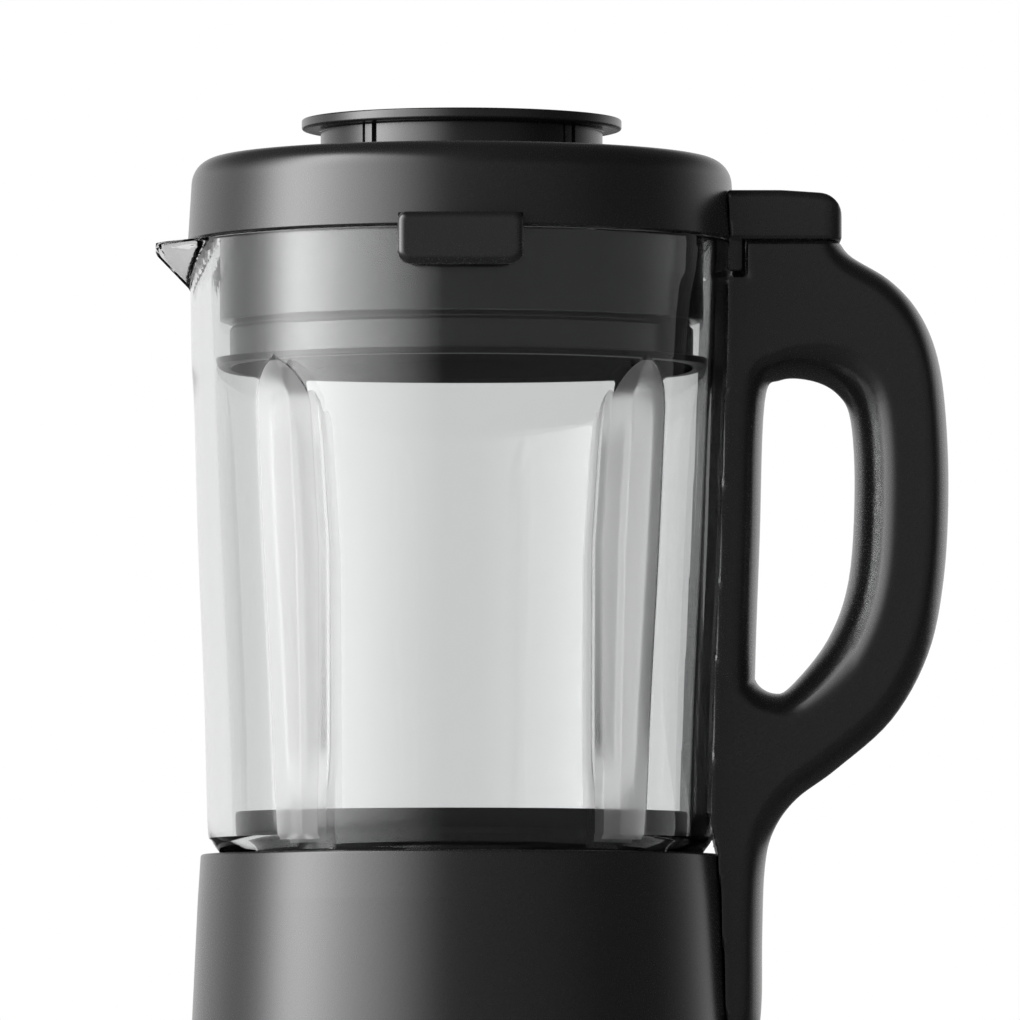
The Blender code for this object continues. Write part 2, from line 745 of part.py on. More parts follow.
def control_panel():
    low = PANEL_BOTTOM_LEVEL + CLEARANCE
    high = PANEL_TOP_LEVEL - CLEARANCE
    half = PANEL_WIDTH / 2 - CLEARANCE
    panel = shell_between("control_panel", 0, PANEL_THICKNESS, low, high, LARGE_STEPS)
    patch = box(
        "panel_patch",
        (-half, -base_reach() - OVERRUN, low - OVERRUN),
        (half, -PANEL_WIDTH / 2, high + OVERRUN),
    )
    keep(panel, patch)
    floor = knob_well_floor()
    back = floor + KNOB_WELL_WALL
    front = -base_radius(KNOB_LEVEL - KNOB_RADIUS)
    well_radius = KNOB_RADIUS + RUNNING_CLEARANCE
    well_wall = rod(
        "well_wall",
        well_radius + KNOB_WELL_WALL,
        (0, back, KNOB_LEVEL),
        (0, front + PANEL_THICKNESS, KNOB_LEVEL),
        MIDDLE_STEPS,
    )
    well = rod(
        "well",
        well_radius,
        (0, floor, KNOB_LEVEL),
        (0, front - OVERRUN, KNOB_LEVEL),
        MIDDLE_STEPS,
    )
    stem_hole = rod(
        "stem_hole",
        KNOB_STEM_RADIUS + RUNNING_CLEARANCE,
        (0, back + OVERRUN, KNOB_LEVEL),
        (0, floor - OVERRUN, KNOB_LEVEL),
        TINY_STEPS,
    )
    button_floor = button_face() + BUTTON_HEAD + BUTTON_GAP
    guide_back = button_floor + KNOB_WELL_WALL
    guide = rod(
        "button_guide",
        BUTTON_RADIUS + RUNNING_CLEARANCE + KNOB_WELL_WALL,
        (0, guide_back, BUTTON_LEVEL),
        (0, button_face() + PANEL_THICKNESS, BUTTON_LEVEL),
        SMALL_STEPS,
    )
    button_well = rod(
        "button_well",
        BUTTON_RADIUS + RUNNING_CLEARANCE,
        (0, button_floor, BUTTON_LEVEL),
        (0, -base_reach() - OVERRUN, BUTTON_LEVEL),
        SMALL_STEPS,
    )
    button_hole = rod(
        "button_hole",
        BUTTON_STEM_RADIUS + RUNNING_CLEARANCE,
        (0, guide_back + OVERRUN, BUTTON_LEVEL),
        (0, button_floor - OVERRUN, BUTTON_LEVEL),
        TINY_STEPS,
    )
    join(panel, well_wall, guide)
    return cut(panel, well, stem_hole, button_well, button_hole)


def selector_knob():
    """A finger knob on a skirt, turned about Y, whose stem runs back through the well's floor."""
    skirt_face = knob_face() + KNOB_WELL_DEPTH - KNOB_SKIRT
    back = knob_face() + KNOB_WELL_DEPTH
    profile = [
        (0, -knob_face()),
        (KNOB_GRIP_RADIUS - KNOB_EDGE, -knob_face()),
        (KNOB_GRIP_RADIUS, -knob_face() - KNOB_EDGE),
        (KNOB_GRIP_RADIUS, -skirt_face),
        (KNOB_RADIUS, -skirt_face),
        (KNOB_RADIUS, -back),
        (KNOB_STEM_RADIUS, -back),
        (KNOB_STEM_RADIUS, -back - KNOB_STEM_LENGTH),
        (0, -back - KNOB_STEM_LENGTH),
    ]
    knob = turned("selector_knob", profile, MIDDLE_STEPS)
    settle(knob)
    knob.data.transform(Matrix.Rotation(math.radians(90), 4, "X"))
    knob.data.transform(Matrix.Translation((0, 0, KNOB_LEVEL)))
    return knob


def start_button():
    head_back = button_face() + BUTTON_HEAD
    head = rod(
        "start_button",
        BUTTON_RADIUS,
        (0, head_back, BUTTON_LEVEL),
        (0, button_face(), BUTTON_LEVEL),
        SMALL_STEPS,
    )
    round_edges(head, BUTTON_EDGE, 1)
    stem = rod(
        "button_stem",
        BUTTON_STEM_RADIUS,
        (0, -button_stem_end(), BUTTON_LEVEL),
        (0, head_back - BUTTON_EDGE, BUTTON_LEVEL),
        TINY_STEPS,
    )
    return join(head, stem)


def vent_slots():
    slots = []
    for i in range(VENT_COUNT):
        turn = Matrix.Rotation(2 * math.pi * (i + 0.5) / VENT_COUNT, 4, "Z")
        low = FOOT_HEIGHT - OVERRUN
        high = FOOT_HEIGHT + COVER_THICKNESS + 2 * OVERRUN
        slot = box(
            f"vent_{i}",
            (VENT_CENTRE_RADIUS - VENT_LENGTH / 2, -VENT_WIDTH / 2, low),
            (VENT_CENTRE_RADIUS + VENT_LENGTH / 2, VENT_WIDTH / 2, high),
        )
        slot.data.transform(turn)
        slots.append(slot)
    return slots


def board_post(name, reach, side):
    """A grooved post on the bottom cover that holds one lower corner of an upright board."""
    low = FOOT_HEIGHT + CLEARANCE + COVER_THICKNESS / 2
    high = FOOT_HEIGHT + CLEARANCE + COVER_THICKNESS + BOARD_POST_HEIGHT
    middle = reach - BOARD_THICKNESS / 2 * math.copysign(1, reach)
    centre = side * (CONTROL_BOARD_WIDTH - BOARD_POST_WIDTH) / 2
    post = box(
        name,
        (centre - BOARD_POST_WIDTH / 2, middle - BOARD_POST_DEPTH / 2, low),
        (centre + BOARD_POST_WIDTH / 2, middle + BOARD_POST_DEPTH / 2, high),
    )
    half = BOARD_THICKNESS / 2 + CLEARANCE
    groove = box(
        name + "_groove",
        (centre - BOARD_POST_WIDTH, middle - half, high - BOARD_SLOT_DEPTH),
        (centre + BOARD_POST_WIDTH, middle + half, high + OVERRUN),
    )
    return settle(cut(post, groove))


def board_foot_level():
    top = FOOT_HEIGHT + CLEARANCE + COVER_THICKNESS + BOARD_POST_HEIGHT
    return top - BOARD_SLOT_DEPTH + CLEARANCE


def bottom_cover():
    low = FOOT_HEIGHT + CLEARANCE
    high = low + COVER_THICKNESS
    radius = base_radius(low) - BASE_WALL - RUNNING_CLEARANCE
    inner = PEDESTAL_RADIUS - PEDESTAL_WALL
    top = high + PEDESTAL_HEIGHT
    profile = [
        (0, high),
        (inner, high),
        (inner, top),
        (PEDESTAL_RADIUS, top),
        (PEDESTAL_RADIUS, high),
        (radius, high),
        (radius, low),
        (0, low),
    ]
    cover = turned("bottom_cover", profile, MIDDLE_STEPS)
    posts = [
        board_post("post_front_left", -control_board_reach(), -1),
        board_post("post_front_right", -control_board_reach(), 1),
        board_post("post_back_left", power_board_reach(), -1),
        board_post("post_back_right", power_board_reach(), 1),
    ]
    join(cover, *posts)
    return cut(cover, *vent_slots())


def rubber_foot(number):
    angle = math.radians(45) + math.radians(90) * number
    x = foot_circle_radius() * math.cos(angle)
    y = foot_circle_radius() * math.sin(angle)
    foot = rod(
        f"rubber_foot_{number + 1}",
        FOOT_RADIUS - FOOT_EDGE,
        (x, y, 0),
        (x, y, FOOT_HEIGHT),
        SMALL_STEPS,
        end_radius=FOOT_RADIUS,
    )
    return foot


def deck_floor_level():
    return BASE_TOP_LEVEL - CLEARANCE - DECK_WELL_DEPTH


def top_deck():
    """The jug's seat: a rim inside the housing, a well for the collar and a drive bore."""
    top = BASE_TOP_LEVEL - CLEARANCE
    floor = deck_floor_level()
    radius = base_radius(top) - BASE_WALL - RUNNING_CLEARANCE
    profile = [
        (DECK_BORE_RADIUS, floor),
        (DECK_WELL_RADIUS, floor),
        (DECK_WELL_RADIUS, top),
        (radius, top),
        (radius, top - DECK_RIM_DROP),
        (radius - DECK_FLOOR, top - DECK_RIM_DROP),
        (radius - DECK_FLOOR, top - DECK_FLOOR),
        (DECK_WELL_RADIUS + DECK_FLOOR, top - DECK_FLOOR),
        (DECK_WELL_RADIUS + DECK_FLOOR, floor - DECK_FLOOR),
        (DECK_BORE_RADIUS, floor - DECK_FLOOR),
    ]
    deck = turned("top_deck", profile, MIDDLE_STEPS)
    half_length = CONNECTOR_LENGTH / 2 + CLEARANCE
    half_width = CONNECTOR_WIDTH / 2 + CLEARANCE
    socket_hole = box(
        "socket_hole",
        (CONNECTOR_CENTRE - half_length, -half_width, floor - DECK_FLOOR - OVERRUN),
        (CONNECTOR_CENTRE + half_length, half_width, floor + OVERRUN),
    )
    plunger_hole = rod(
        "plunger_hole",
        PLUNGER_RADIUS + RUNNING_CLEARANCE,
        (-JUG_SWITCH_CENTRE, 0, floor - DECK_FLOOR - OVERRUN),
        (-JUG_SWITCH_CENTRE, 0, floor + OVERRUN),
        TINY_STEPS,
    )
    return cut(deck, socket_hole, plunger_hole)


def stator_core():
    half_height = STATOR_HEIGHT / 2
    low = MOTOR_CENTRE_LEVEL - half_height
    high = MOTOR_CENTRE_LEVEL + half_height
    core = box(
        "stator_core",
        (-STATOR_LENGTH_X / 2, -STATOR_LENGTH_Y / 2, low),
        (STATOR_LENGTH_X / 2, STATOR_LENGTH_Y / 2, high),
    )
    bore = rod(
        "stator_bore",
        STATOR_BORE_RADIUS,
        (0, 0, low - OVERRUN),
        (0, 0, high + OVERRUN),
        MIDDLE_STEPS,
    )
    cut(core, bore)
    near_x = COIL_INNER_X - CLEARANCE
    far_x = COIL_INNER_X + COIL_THICKNESS + CLEARANCE
    near_y = COIL_WINDOW_WIDTH / 2 - CLEARANCE
    far_y = COIL_OUTER_WIDTH / 2 + CLEARANCE
    for side_x in (-1, 1):
        for side_y in (-1, 1):
            xs = sorted((side_x * near_x, side_x * far_x))
            ys = sorted((side_y * near_y, side_y * far_y))
            slot = box(
                f"coil_slot_{side_x}_{side_y}",
                (xs[0], ys[0], low - OVERRUN),
                (xs[1], ys[1], high + OVERRUN),
            )
            cut(core, slot)
    return core


def field_coil(name, side):
    xs = sorted((side * COIL_INNER_X, side * (COIL_INNER_X + COIL_THICKNESS)))
    half_width = COIL_OUTER_WIDTH / 2
    half_height = COIL_OUTER_HEIGHT / 2
    coil = box(
        name,
        (xs[0], -half_width, MOTOR_CENTRE_LEVEL - half_height),
        (xs[1], half_width, MOTOR_CENTRE_LEVEL + half_height),
    )
    window_half_width = COIL_WINDOW_WIDTH / 2
    window_half_height = STATOR_HEIGHT / 2 + CLEARANCE
    window = box(
        name + "_window",
        (xs[0] - OVERRUN, -window_half_width, MOTOR_CENTRE_LEVEL - window_half_height),
        (xs[1] + OVERRUN, window_half_width, MOTOR_CENTRE_LEVEL + window_half_height),
    )
    return cut(coil, window)


def motor_bracket(name, level, bearing_low, leg_end):
    """A bar across the motor with a bearing boss in the middle and a leg at each end."""
    half = BRACKET_LEG_CENTRE + BRACKET_LEG / 2
    bar = box(
        name,
        (-half, -BRACKET_WIDTH / 2, level),
        (half, BRACKET_WIDTH / 2, level + BRACKET_THICKNESS),
    )
    boss = rod(
        name + "_boss",
        BEARING_RADIUS + CLEARANCE + BEARING_WALL,
        (0, 0, min(level, bearing_low) + MERGE_DISTANCE),
        (0, 0, max(level + BRACKET_THICKNESS, bearing_low + BEARING_WIDTH)),
        SMALL_STEPS,
    )
    join(bar, boss)
    start = level + BRACKET_THICKNESS / 2
    for side in (-1, 1):
        xs = sorted((side * (BRACKET_LEG_CENTRE - BRACKET_LEG / 2), side * half))
        leg = box(
            f"{name}_leg_{side}",
            (xs[0] + MERGE_DISTANCE, -BRACKET_LEG_WIDTH / 2, min(start, leg_end)),
            (xs[1] - MERGE_DISTANCE, BRACKET_LEG_WIDTH / 2, max(start, leg_end)),
        )
        join(bar, leg)
    bore = rod(
        name + "_bore",
        BEARING_RADIUS + CLEARANCE,
        (0, 0, min(level, bearing_low) - OVERRUN),
        (0, 0, max(level, bearing_low) + BEARING_WIDTH + OVERRUN),
        SMALL_STEPS,
    )
    return cut(bar, bore)


def brush_holder(name, side):
    """A box on a post that stands on the lower bracket and guides one carbon brush."""
    start = COMMUTATOR_RADIUS + BRUSH_HOLDER_WALL
    end = start + BRUSH_HOLDER_LENGTH
    ys = sorted((side * start, side * end))
    middle = COMMUTATOR_LEVEL + COMMUTATOR_LENGTH / 2
    half_width = BRUSH_WIDTH / 2 + CLEARANCE
    half_height = BRUSH_HEIGHT / 2 + CLEARANCE
    outer = box(
        name,
        (
            -half_width - BRUSH_HOLDER_WALL,
            ys[0],
            LOWER_BRACKET_LEVEL + BRACKET_THICKNESS / 2,
        ),
        (
            half_width + BRUSH_HOLDER_WALL,
            ys[1],
            middle + half_height + BRUSH_HOLDER_WALL,
        ),
    )
    channel = box(
        name + "_channel",
        (-half_width, ys[0] - OVERRUN, middle - half_height),
        (half_width, ys[1] + OVERRUN, middle + half_height),
    )
    return settle(cut(outer, channel))


def upper_bracket():
    leg_end = MOTOR_CENTRE_LEVEL + STATOR_HEIGHT / 2 + CLEARANCE
    return motor_bracket(
        "motor_bracket_upper", UPPER_BRACKET_LEVEL, UPPER_BRACKET_LEVEL, leg_end
    )


def lower_bracket():
    leg_end = MOTOR_CENTRE_LEVEL - STATOR_HEIGHT / 2 - CLEARANCE
    bracket = motor_bracket(
        "motor_bracket_lower", LOWER_BRACKET_LEVEL, LOWER_BRACKET_LEVEL, leg_end
    )
    cross = box(
        "bracket_cross",
        (
            -BRACKET_WIDTH / 4,
            BEARING_RADIUS + BEARING_WALL / 2,
            LOWER_BRACKET_LEVEL + MERGE_DISTANCE,
        ),
        (
            BRACKET_WIDTH / 4,
            PEDESTAL_RADIUS,
            LOWER_BRACKET_LEVEL + BRACKET_THICKNESS - MERGE_DISTANCE,
        ),
    )
    other = box(
        "bracket_cross_back",
        (
            -BRACKET_WIDTH / 4,
            -PEDESTAL_RADIUS,
            LOWER_BRACKET_LEVEL + MERGE_DISTANCE,
        ),
        (
            BRACKET_WIDTH / 4,
            -BEARING_RADIUS - BEARING_WALL / 2,
            LOWER_BRACKET_LEVEL + BRACKET_THICKNESS - MERGE_DISTANCE,
        ),
    )
    join(bracket, cross, other)
    join(bracket, brush_holder("holder_front", -1), brush_holder("holder_rear", 1))
    return bracket


def ring(name, outer, inner, low, high, steps):
    profile = [(inner, high), (outer, high), (outer, low), (inner, low)]
    return turned(name, profile, steps)


def bearing(name, level):
    inner = MOTOR_SHAFT_RADIUS + CLEARANCE
    return ring(name, BEARING_RADIUS, inner, level, level + BEARING_WIDTH, SMALL_STEPS)


def carbon_brush(name, side):
    start = COMMUTATOR_RADIUS + CLEARANCE
    ys = sorted((side * start, side * (start + BRUSH_LENGTH)))
    middle = COMMUTATOR_LEVEL + COMMUTATOR_LENGTH / 2
    return box(
        name,
        (-BRUSH_WIDTH / 2, ys[0], middle - BRUSH_HEIGHT / 2),
        (BRUSH_WIDTH / 2, ys[1], middle + BRUSH_HEIGHT / 2),
    )


def motor_damper():
    low = FOOT_HEIGHT + 2 * CLEARANCE + COVER_THICKNESS + PEDESTAL_HEIGHT
    high = LOWER_BRACKET_LEVEL - CLEARANCE
    outer = PEDESTAL_RADIUS
    return ring("motor_damper", outer, outer - DAMPER_WIDTH, low, high, SMALL_STEPS)


def motor_shaft():
    low = LOWER_BRACKET_LEVEL - BRACKET_THICKNESS / 2
    high = COUPLING_LEVEL + COUPLING_HEIGHT / 2
    return rod("motor_shaft", MOTOR_SHAFT_RADIUS, (0, 0, low), (0, 0, high), SMALL_STEPS)


def shaft_ring(name, radius, low, high, steps):
    return ring(name, radius, MOTOR_SHAFT_RADIUS + CLEARANCE, low, high, steps)


def armature_core():
    half = STATOR_HEIGHT / 2
    low = MOTOR_CENTRE_LEVEL - half
    high = MOTOR_CENTRE_LEVEL + half
    return shaft_ring("armature_core", ARMATURE_RADIUS, low, high, SMALL_STEPS)


def commutator():
    high = COMMUTATOR_LEVEL + COMMUTATOR_LENGTH
    return shaft_ring(
        "commutator", COMMUTATOR_RADIUS, COMMUTATOR_LEVEL, high, SMALL_STEPS
    )


def cooling_fan():
    inner = MOTOR_SHAFT_RADIUS + CLEARANCE
    top = FAN_LEVEL + FAN_THICKNESS
    profile = [
        (inner, top),
        (FAN_HUB_RADIUS, top),
        (FAN_HUB_RADIUS, FAN_LEVEL + FAN_DISC),
        (FAN_RADIUS, FAN_LEVEL + FAN_DISC),
        (FAN_RADIUS, FAN_LEVEL),
        (inner, FAN_LEVEL),
    ]
    fan = turned("cooling_fan", profile, SMALL_STEPS)
    for i in range(FAN_BLADE_COUNT):
        blade = box(
            f"fan_blade_{i}",
            (FAN_HUB_RADIUS - FAN_DISC, -FAN_DISC / 2, FAN_LEVEL + FAN_DISC / 2),
            (FAN_RADIUS - FAN_DISC, FAN_DISC / 2, top - FAN_DISC / 2),
        )
        blade.data.transform(Matrix.Rotation(2 * math.pi * i / FAN_BLADE_COUNT, 4, "Z"))
        join(fan, blade)
    return fan


def drive_coupling():
    """A six-sided driving head, fixed on the top of the motor's shaft."""
    top = COUPLING_LEVEL + COUPLING_HEIGHT
    head = rod(
        "drive_coupling",
        COUPLING_RADIUS,
        (0, 0, COUPLING_LEVEL),
        (0, 0, top),
        HEX_SIDES,
    )
    bore = rod(
        "coupling_bore",
        MOTOR_SHAFT_RADIUS + CLEARANCE,
        (0, 0, COUPLING_LEVEL - OVERRUN),
        (0, 0, COUPLING_LEVEL + COUPLING_HEIGHT / 2 + CLEARANCE),
        SMALL_STEPS,
    )
    return cut(head, bore)


def rotary_encoder():
    half = ENCODER_WIDTH / 2
    front = knob_well_floor() + KNOB_WELL_WALL + CLEARANCE
    back = -control_board_reach() - CLEARANCE
    body = box(
        "rotary_encoder",
        (-half, front, KNOB_LEVEL - half),
        (half, back, KNOB_LEVEL + half),
    )
    hole = rod(
        "encoder_hole",
        KNOB_STEM_RADIUS + CLEARANCE,
        (0, front - OVERRUN, KNOB_LEVEL),
        (0, back + OVERRUN, KNOB_LEVEL),
        TINY_STEPS,
    )
    return cut(body, hole)


def control_board():
    """The front board, with the small switch behind the start button."""
    back = -control_board_reach() + BOARD_THICKNESS
    board = box(
        "control_board",
        (-CONTROL_BOARD_WIDTH / 2, -control_board_reach(), board_foot_level()),
        (CONTROL_BOARD_WIDTH / 2, back, CONTROL_BOARD_TOP_LEVEL),
    )
    half = BUTTON_SWITCH / 2
    switch = box(
        "button_switch",
        (-half, -control_board_reach() - BUTTON_SWITCH_HEIGHT, BUTTON_LEVEL - half),
        (half, back - BOARD_THICKNESS / 2, BUTTON_LEVEL + half),
    )
    return join(board, switch)


def power_board():
    """The rear board with the two large capacitors that stand out from it."""
    front = power_board_reach() - BOARD_THICKNESS
    board = box(
        "power_board",
        (-POWER_BOARD_WIDTH / 2, front, board_foot_level()),
        (POWER_BOARD_WIDTH / 2, power_board_reach(), POWER_BOARD_TOP_LEVEL),
    )
    for side in (-1, 1):
        capacitor = rod(
            f"capacitor_{side}",
            CAPACITOR_RADIUS,
            (side * CAPACITOR_LENGTH, front + BOARD_THICKNESS / 2, CAPACITOR_LEVEL),
            (side * CAPACITOR_LENGTH, front - CAPACITOR_LENGTH, CAPACITOR_LEVEL),
            TINY_STEPS,
        )
        join(board, capacitor)
    return board


def mains_inlet():
    half_width = INLET_WIDTH / 2
    half_height = INLET_HEIGHT / 2
    body = box(
        "mains_inlet",
        (-half_width, inlet_face() - INLET_DEPTH, INLET_LEVEL - half_height),
        (half_width, inlet_face(), INLET_LEVEL + half_height),
    )
    recess = box(
        "inlet_recess",
        (
            INLET_WALL - half_width,
            inlet_face() - INLET_RECESS,
            INLET_LEVEL - half_height + INLET_WALL,
        ),
        (
            half_width - INLET_WALL,
            inlet_face() + OVERRUN,
            INLET_LEVEL + half_height - INLET_WALL,
        ),
    )
    cut(body, recess)
    start = inlet_face() - INLET_RECESS
    for i in (-1, 0, 1):
        level = INLET_LEVEL + (INLET_PIN_HEIGHT / 2 if i == 0 else -INLET_PIN_HEIGHT / 4)
        pin = box(
            f"inlet_pin_{i}",
            (
                i * INLET_PIN_SPACING - INLET_PIN_WIDTH / 2,
                start - INLET_WALL,
                level - INLET_PIN_HEIGHT / 2,
            ),
            (
                i * INLET_PIN_SPACING + INLET_PIN_WIDTH / 2,
                start + INLET_PIN_LENGTH,
                level + INLET_PIN_HEIGHT / 2,
            ),
        )
        join(body, pin)
    return body


def connector_pins(name, low, high, gap):
    pins = []
    for i in (-1, 0, 1):
        x = CONNECTOR_CENTRE + i * CONNECTOR_PIN_SPACING
        half = CONNECTOR_PIN_THICKNESS / 2 + gap
        half_width = CONNECTOR_PIN_WIDTH / 2 + gap
        pins.append(
            box(f"{name}_{i}", (x - half, -half_width, low), (x + half, half_width, high))
        )
    return pins


def jug_socket():
    """The base's half of the connector, which stands up through the deck."""
    half_length = CONNECTOR_LENGTH / 2
    half_width = CONNECTOR_WIDTH / 2
    flange_top = deck_floor_level() - DECK_FLOOR - CLEARANCE
    body = box(
        "jug_socket",
        (CONNECTOR_CENTRE - half_length, -half_width, CONNECTOR_BOTTOM_LEVEL),
        (CONNECTOR_CENTRE + half_length, half_width, CONNECTOR_TOP_LEVEL),
    )
    flange = box(
        "socket_flange",
        (
            CONNECTOR_CENTRE - half_length - CONNECTOR_FLANGE,
            -half_width - CONNECTOR_FLANGE,
            flange_top - CONNECTOR_FLANGE,
        ),
        (
            CONNECTOR_CENTRE + half_length + CONNECTOR_FLANGE,
            half_width + CONNECTOR_FLANGE,
            flange_top,
        ),
    )
    join(body, flange)
    low = CONNECTOR_TOP_LEVEL - CONNECTOR_SLOT_DEPTH
    slots = connector_pins(
        "socket_slot", low, CONNECTOR_TOP_LEVEL + OVERRUN, RUNNING_CLEARANCE
    )
    return cut(body, *slots)


def jug_plug():
    """The jug's half of the connector: a block in the collar's plate with three blades below."""
    low = CONNECTOR_TOP_LEVEL + RUNNING_CLEARANCE
    half_length = CONNECTOR_LENGTH / 2 - CONNECTOR_FLANGE
    half_width = CONNECTOR_WIDTH / 2 - CONNECTOR_FLANGE
    body = box(
        "jug_plug",
        (CONNECTOR_CENTRE - half_length, -half_width, low),
        (CONNECTOR_CENTRE + half_length, half_width, low + PLUG_HEIGHT),
    )
    flange_low = plate_top_level() + CLEARANCE
    flange = box(
        "plug_flange",
        (
            CONNECTOR_CENTRE - half_length - CONNECTOR_FLANGE,
            -half_width - CONNECTOR_FLANGE,
            flange_low,
        ),
        (
            CONNECTOR_CENTRE + half_length + CONNECTOR_FLANGE,
            half_width + CONNECTOR_FLANGE,
            flange_low + CONNECTOR_FLANGE,
        ),
    )
    join(body, flange)
    pins = connector_pins(
        "plug_pin", low - CONNECTOR_PIN_LENGTH, low + CONNECTOR_FLANGE, 0
    )
    return join(body, *pins)


def jug_switch():
    """The switch under the deck that tells whether the jug is seated."""
    top = deck_floor_level() - DECK_FLOOR - CLEARANCE
    body = box(
        "jug_switch",
        (
            -JUG_SWITCH_CENTRE - JUG_SWITCH_LENGTH / 2,
            -JUG_SWITCH_WIDTH / 2,
            top - JUG_SWITCH_HEIGHT,
        ),
        (
            -JUG_SWITCH_CENTRE + JUG_SWITCH_LENGTH / 2,
            JUG_SWITCH_WIDTH / 2,
            top,
        ),
    )
    hole = rod(
        "switch_hole",
        PLUNGER_RADIUS + RUNNING_CLEARANCE,
        (-JUG_SWITCH_CENTRE, 0, top - JUG_SWITCH_HEIGHT / 2),
        (-JUG_SWITCH_CENTRE, 0, top + OVERRUN),
        TINY_STEPS,
    )
    return cut(body, hole)


def jug_switch_plunger():
    low = deck_floor_level() - DECK_FLOOR - JUG_SWITCH_HEIGHT / 2 + 2 * PLUNGER_TRAVEL
    high = deck_floor_level() + PLATE_BOSS_CLEARANCE - CLEARANCE
    x = -JUG_SWITCH_CENTRE
    return rod(
        "jug_switch_plunger", PLUNGER_RADIUS, (x, 0, low), (x, 0, high), TINY_STEPS
    )


def plate_top_level():
    return BASE_TOP_LEVEL + CLEARANCE + PLATE_THICKNESS


def jug_collar():
    top = COLLAR_TOP_LEVEL
    low = BASE_TOP_LEVEL + CLEARANCE
    shelf = GLASS_OUTER[-1][0] - CLEARANCE
    inner = COLLAR_BOTTOM_RADIUS - COLLAR_WALL
    profile = [
        (COLLAR_MOUTH_RADIUS, top),
        (COLLAR_TOP_RADIUS - COLLAR_EDGE, top),
        (COLLAR_TOP_RADIUS, top - COLLAR_EDGE),
        (COLLAR_SHOULDER_RADIUS, COLLAR_SHOULDER_LEVEL),
        (COLLAR_BOTTOM_RADIUS, low),
        (inner, low),
        (COLLAR_MOUTH_RADIUS, shelf - COLLAR_SHELF_THICKNESS),
        (COLLAR_SHELF_RADIUS, shelf - COLLAR_SHELF_THICKNESS),
        (COLLAR_SHELF_RADIUS, shelf),
        (COLLAR_MOUTH_RADIUS, shelf),
    ]
    collar = turned("jug_collar", profile, LARGE_STEPS)
    hole = rod(
        "collar_screw_hole",
        SCREW_RADIUS + CLEARANCE,
        (COLLAR_SHELF_RADIUS, 0, SCREW_LEVEL),
        (COLLAR_BOTTOM_RADIUS + OVERRUN, 0, SCREW_LEVEL),
        TINY_STEPS,
    )
    return cut(collar, hole)


def collar_plate():
    """Closes the collar from below, with a boss that drops into the deck's well."""
    low = BASE_TOP_LEVEL + CLEARANCE
    high = plate_top_level()
    boss_low = deck_floor_level() + PLATE_BOSS_CLEARANCE
    boss = DECK_WELL_RADIUS - RUNNING_CLEARANCE
    radius = COLLAR_BOTTOM_RADIUS - COLLAR_WALL - RUNNING_CLEARANCE
    profile = [
        (PLATE_BORE_RADIUS, high),
        (radius, high),
        (radius, low),
        (boss, low),
        (boss, boss_low),
        (PLATE_BORE_RADIUS, boss_low),
    ]
    plate = turned("collar_plate", profile, MIDDLE_STEPS)
    outer_length = CONNECTOR_LENGTH / 2 + RUNNING_CLEARANCE
    outer_width = CONNECTOR_WIDTH / 2 + RUNNING_CLEARANCE
    pocket = box(
        "plate_pocket",
        (CONNECTOR_CENTRE - outer_length, -outer_width, boss_low - OVERRUN),
        (
            CONNECTOR_CENTRE + outer_length,
            outer_width,
            CONNECTOR_TOP_LEVEL + RUNNING_CLEARANCE,
        ),
    )
    inner_length = CONNECTOR_LENGTH / 2 - CONNECTOR_FLANGE + CLEARANCE
    inner_width = CONNECTOR_WIDTH / 2 - CONNECTOR_FLANGE + CLEARANCE
    hole = box(
        "plate_hole",
        (CONNECTOR_CENTRE - inner_length, -inner_width, CONNECTOR_TOP_LEVEL),
        (CONNECTOR_CENTRE + inner_length, inner_width, high + OVERRUN),
    )
    return cut(plate, pocket, hole)


def spout_share(angle, level):
    """How far the spout stands out at this angle and level, from 0 to 1."""
    aside = abs(abs(angle) - math.pi) / SPOUT_HALF_ANGLE
    rise = (level - SPOUT_BOTTOM_LEVEL) / (SPOUT_TIP_LEVEL - SPOUT_BOTTOM_LEVEL)
    return min(max(rise - SPOUT_SIDE_SHARE * aside, 0), 1)


def flute_width(level):
    """How wide a flute is at this level against its full width: an arch at its top."""
    above = 1 - min(max((FLUTE_TOP_LEVEL - level) / FLUTE_APEX_LENGTH, 0), 1)
    foot = min(max((level - FLUTE_FOOT_LEVEL) / FLUTE_FOOT_LENGTH, 0), 1)
    return (1 - above**2) ** FLUTE_APEX_POWER * foot


def ring_angles(level, share):
    """(angle, on a flute's middle line) for each point of a ring, with three on every flute."""
    near = min(level, FLUTE_TOP_LEVEL)
    middle = between(FLUTE_CENTRES, near)
    half = between(FLUTE_HALF_ANGLES, near) * share
    step = 2 * math.pi / LARGE_STEPS
    below, above = FLUTE_STEPS
    quarter = [(i * step, False) for i in range(1, below)]
    quarter += [(middle - half, False), (middle, True), (middle + half, False)]
    quarter += [(i * step, False) for i in range(above, LARGE_STEPS // 4)]
    half_turn = [(0, False), *quarter, (math.pi / 2, False)]
    half_turn += [(math.pi - angle, on_line) for angle, on_line in reversed(quarter)]
    return [(angle - math.pi, on_line) for angle, on_line in half_turn] + half_turn


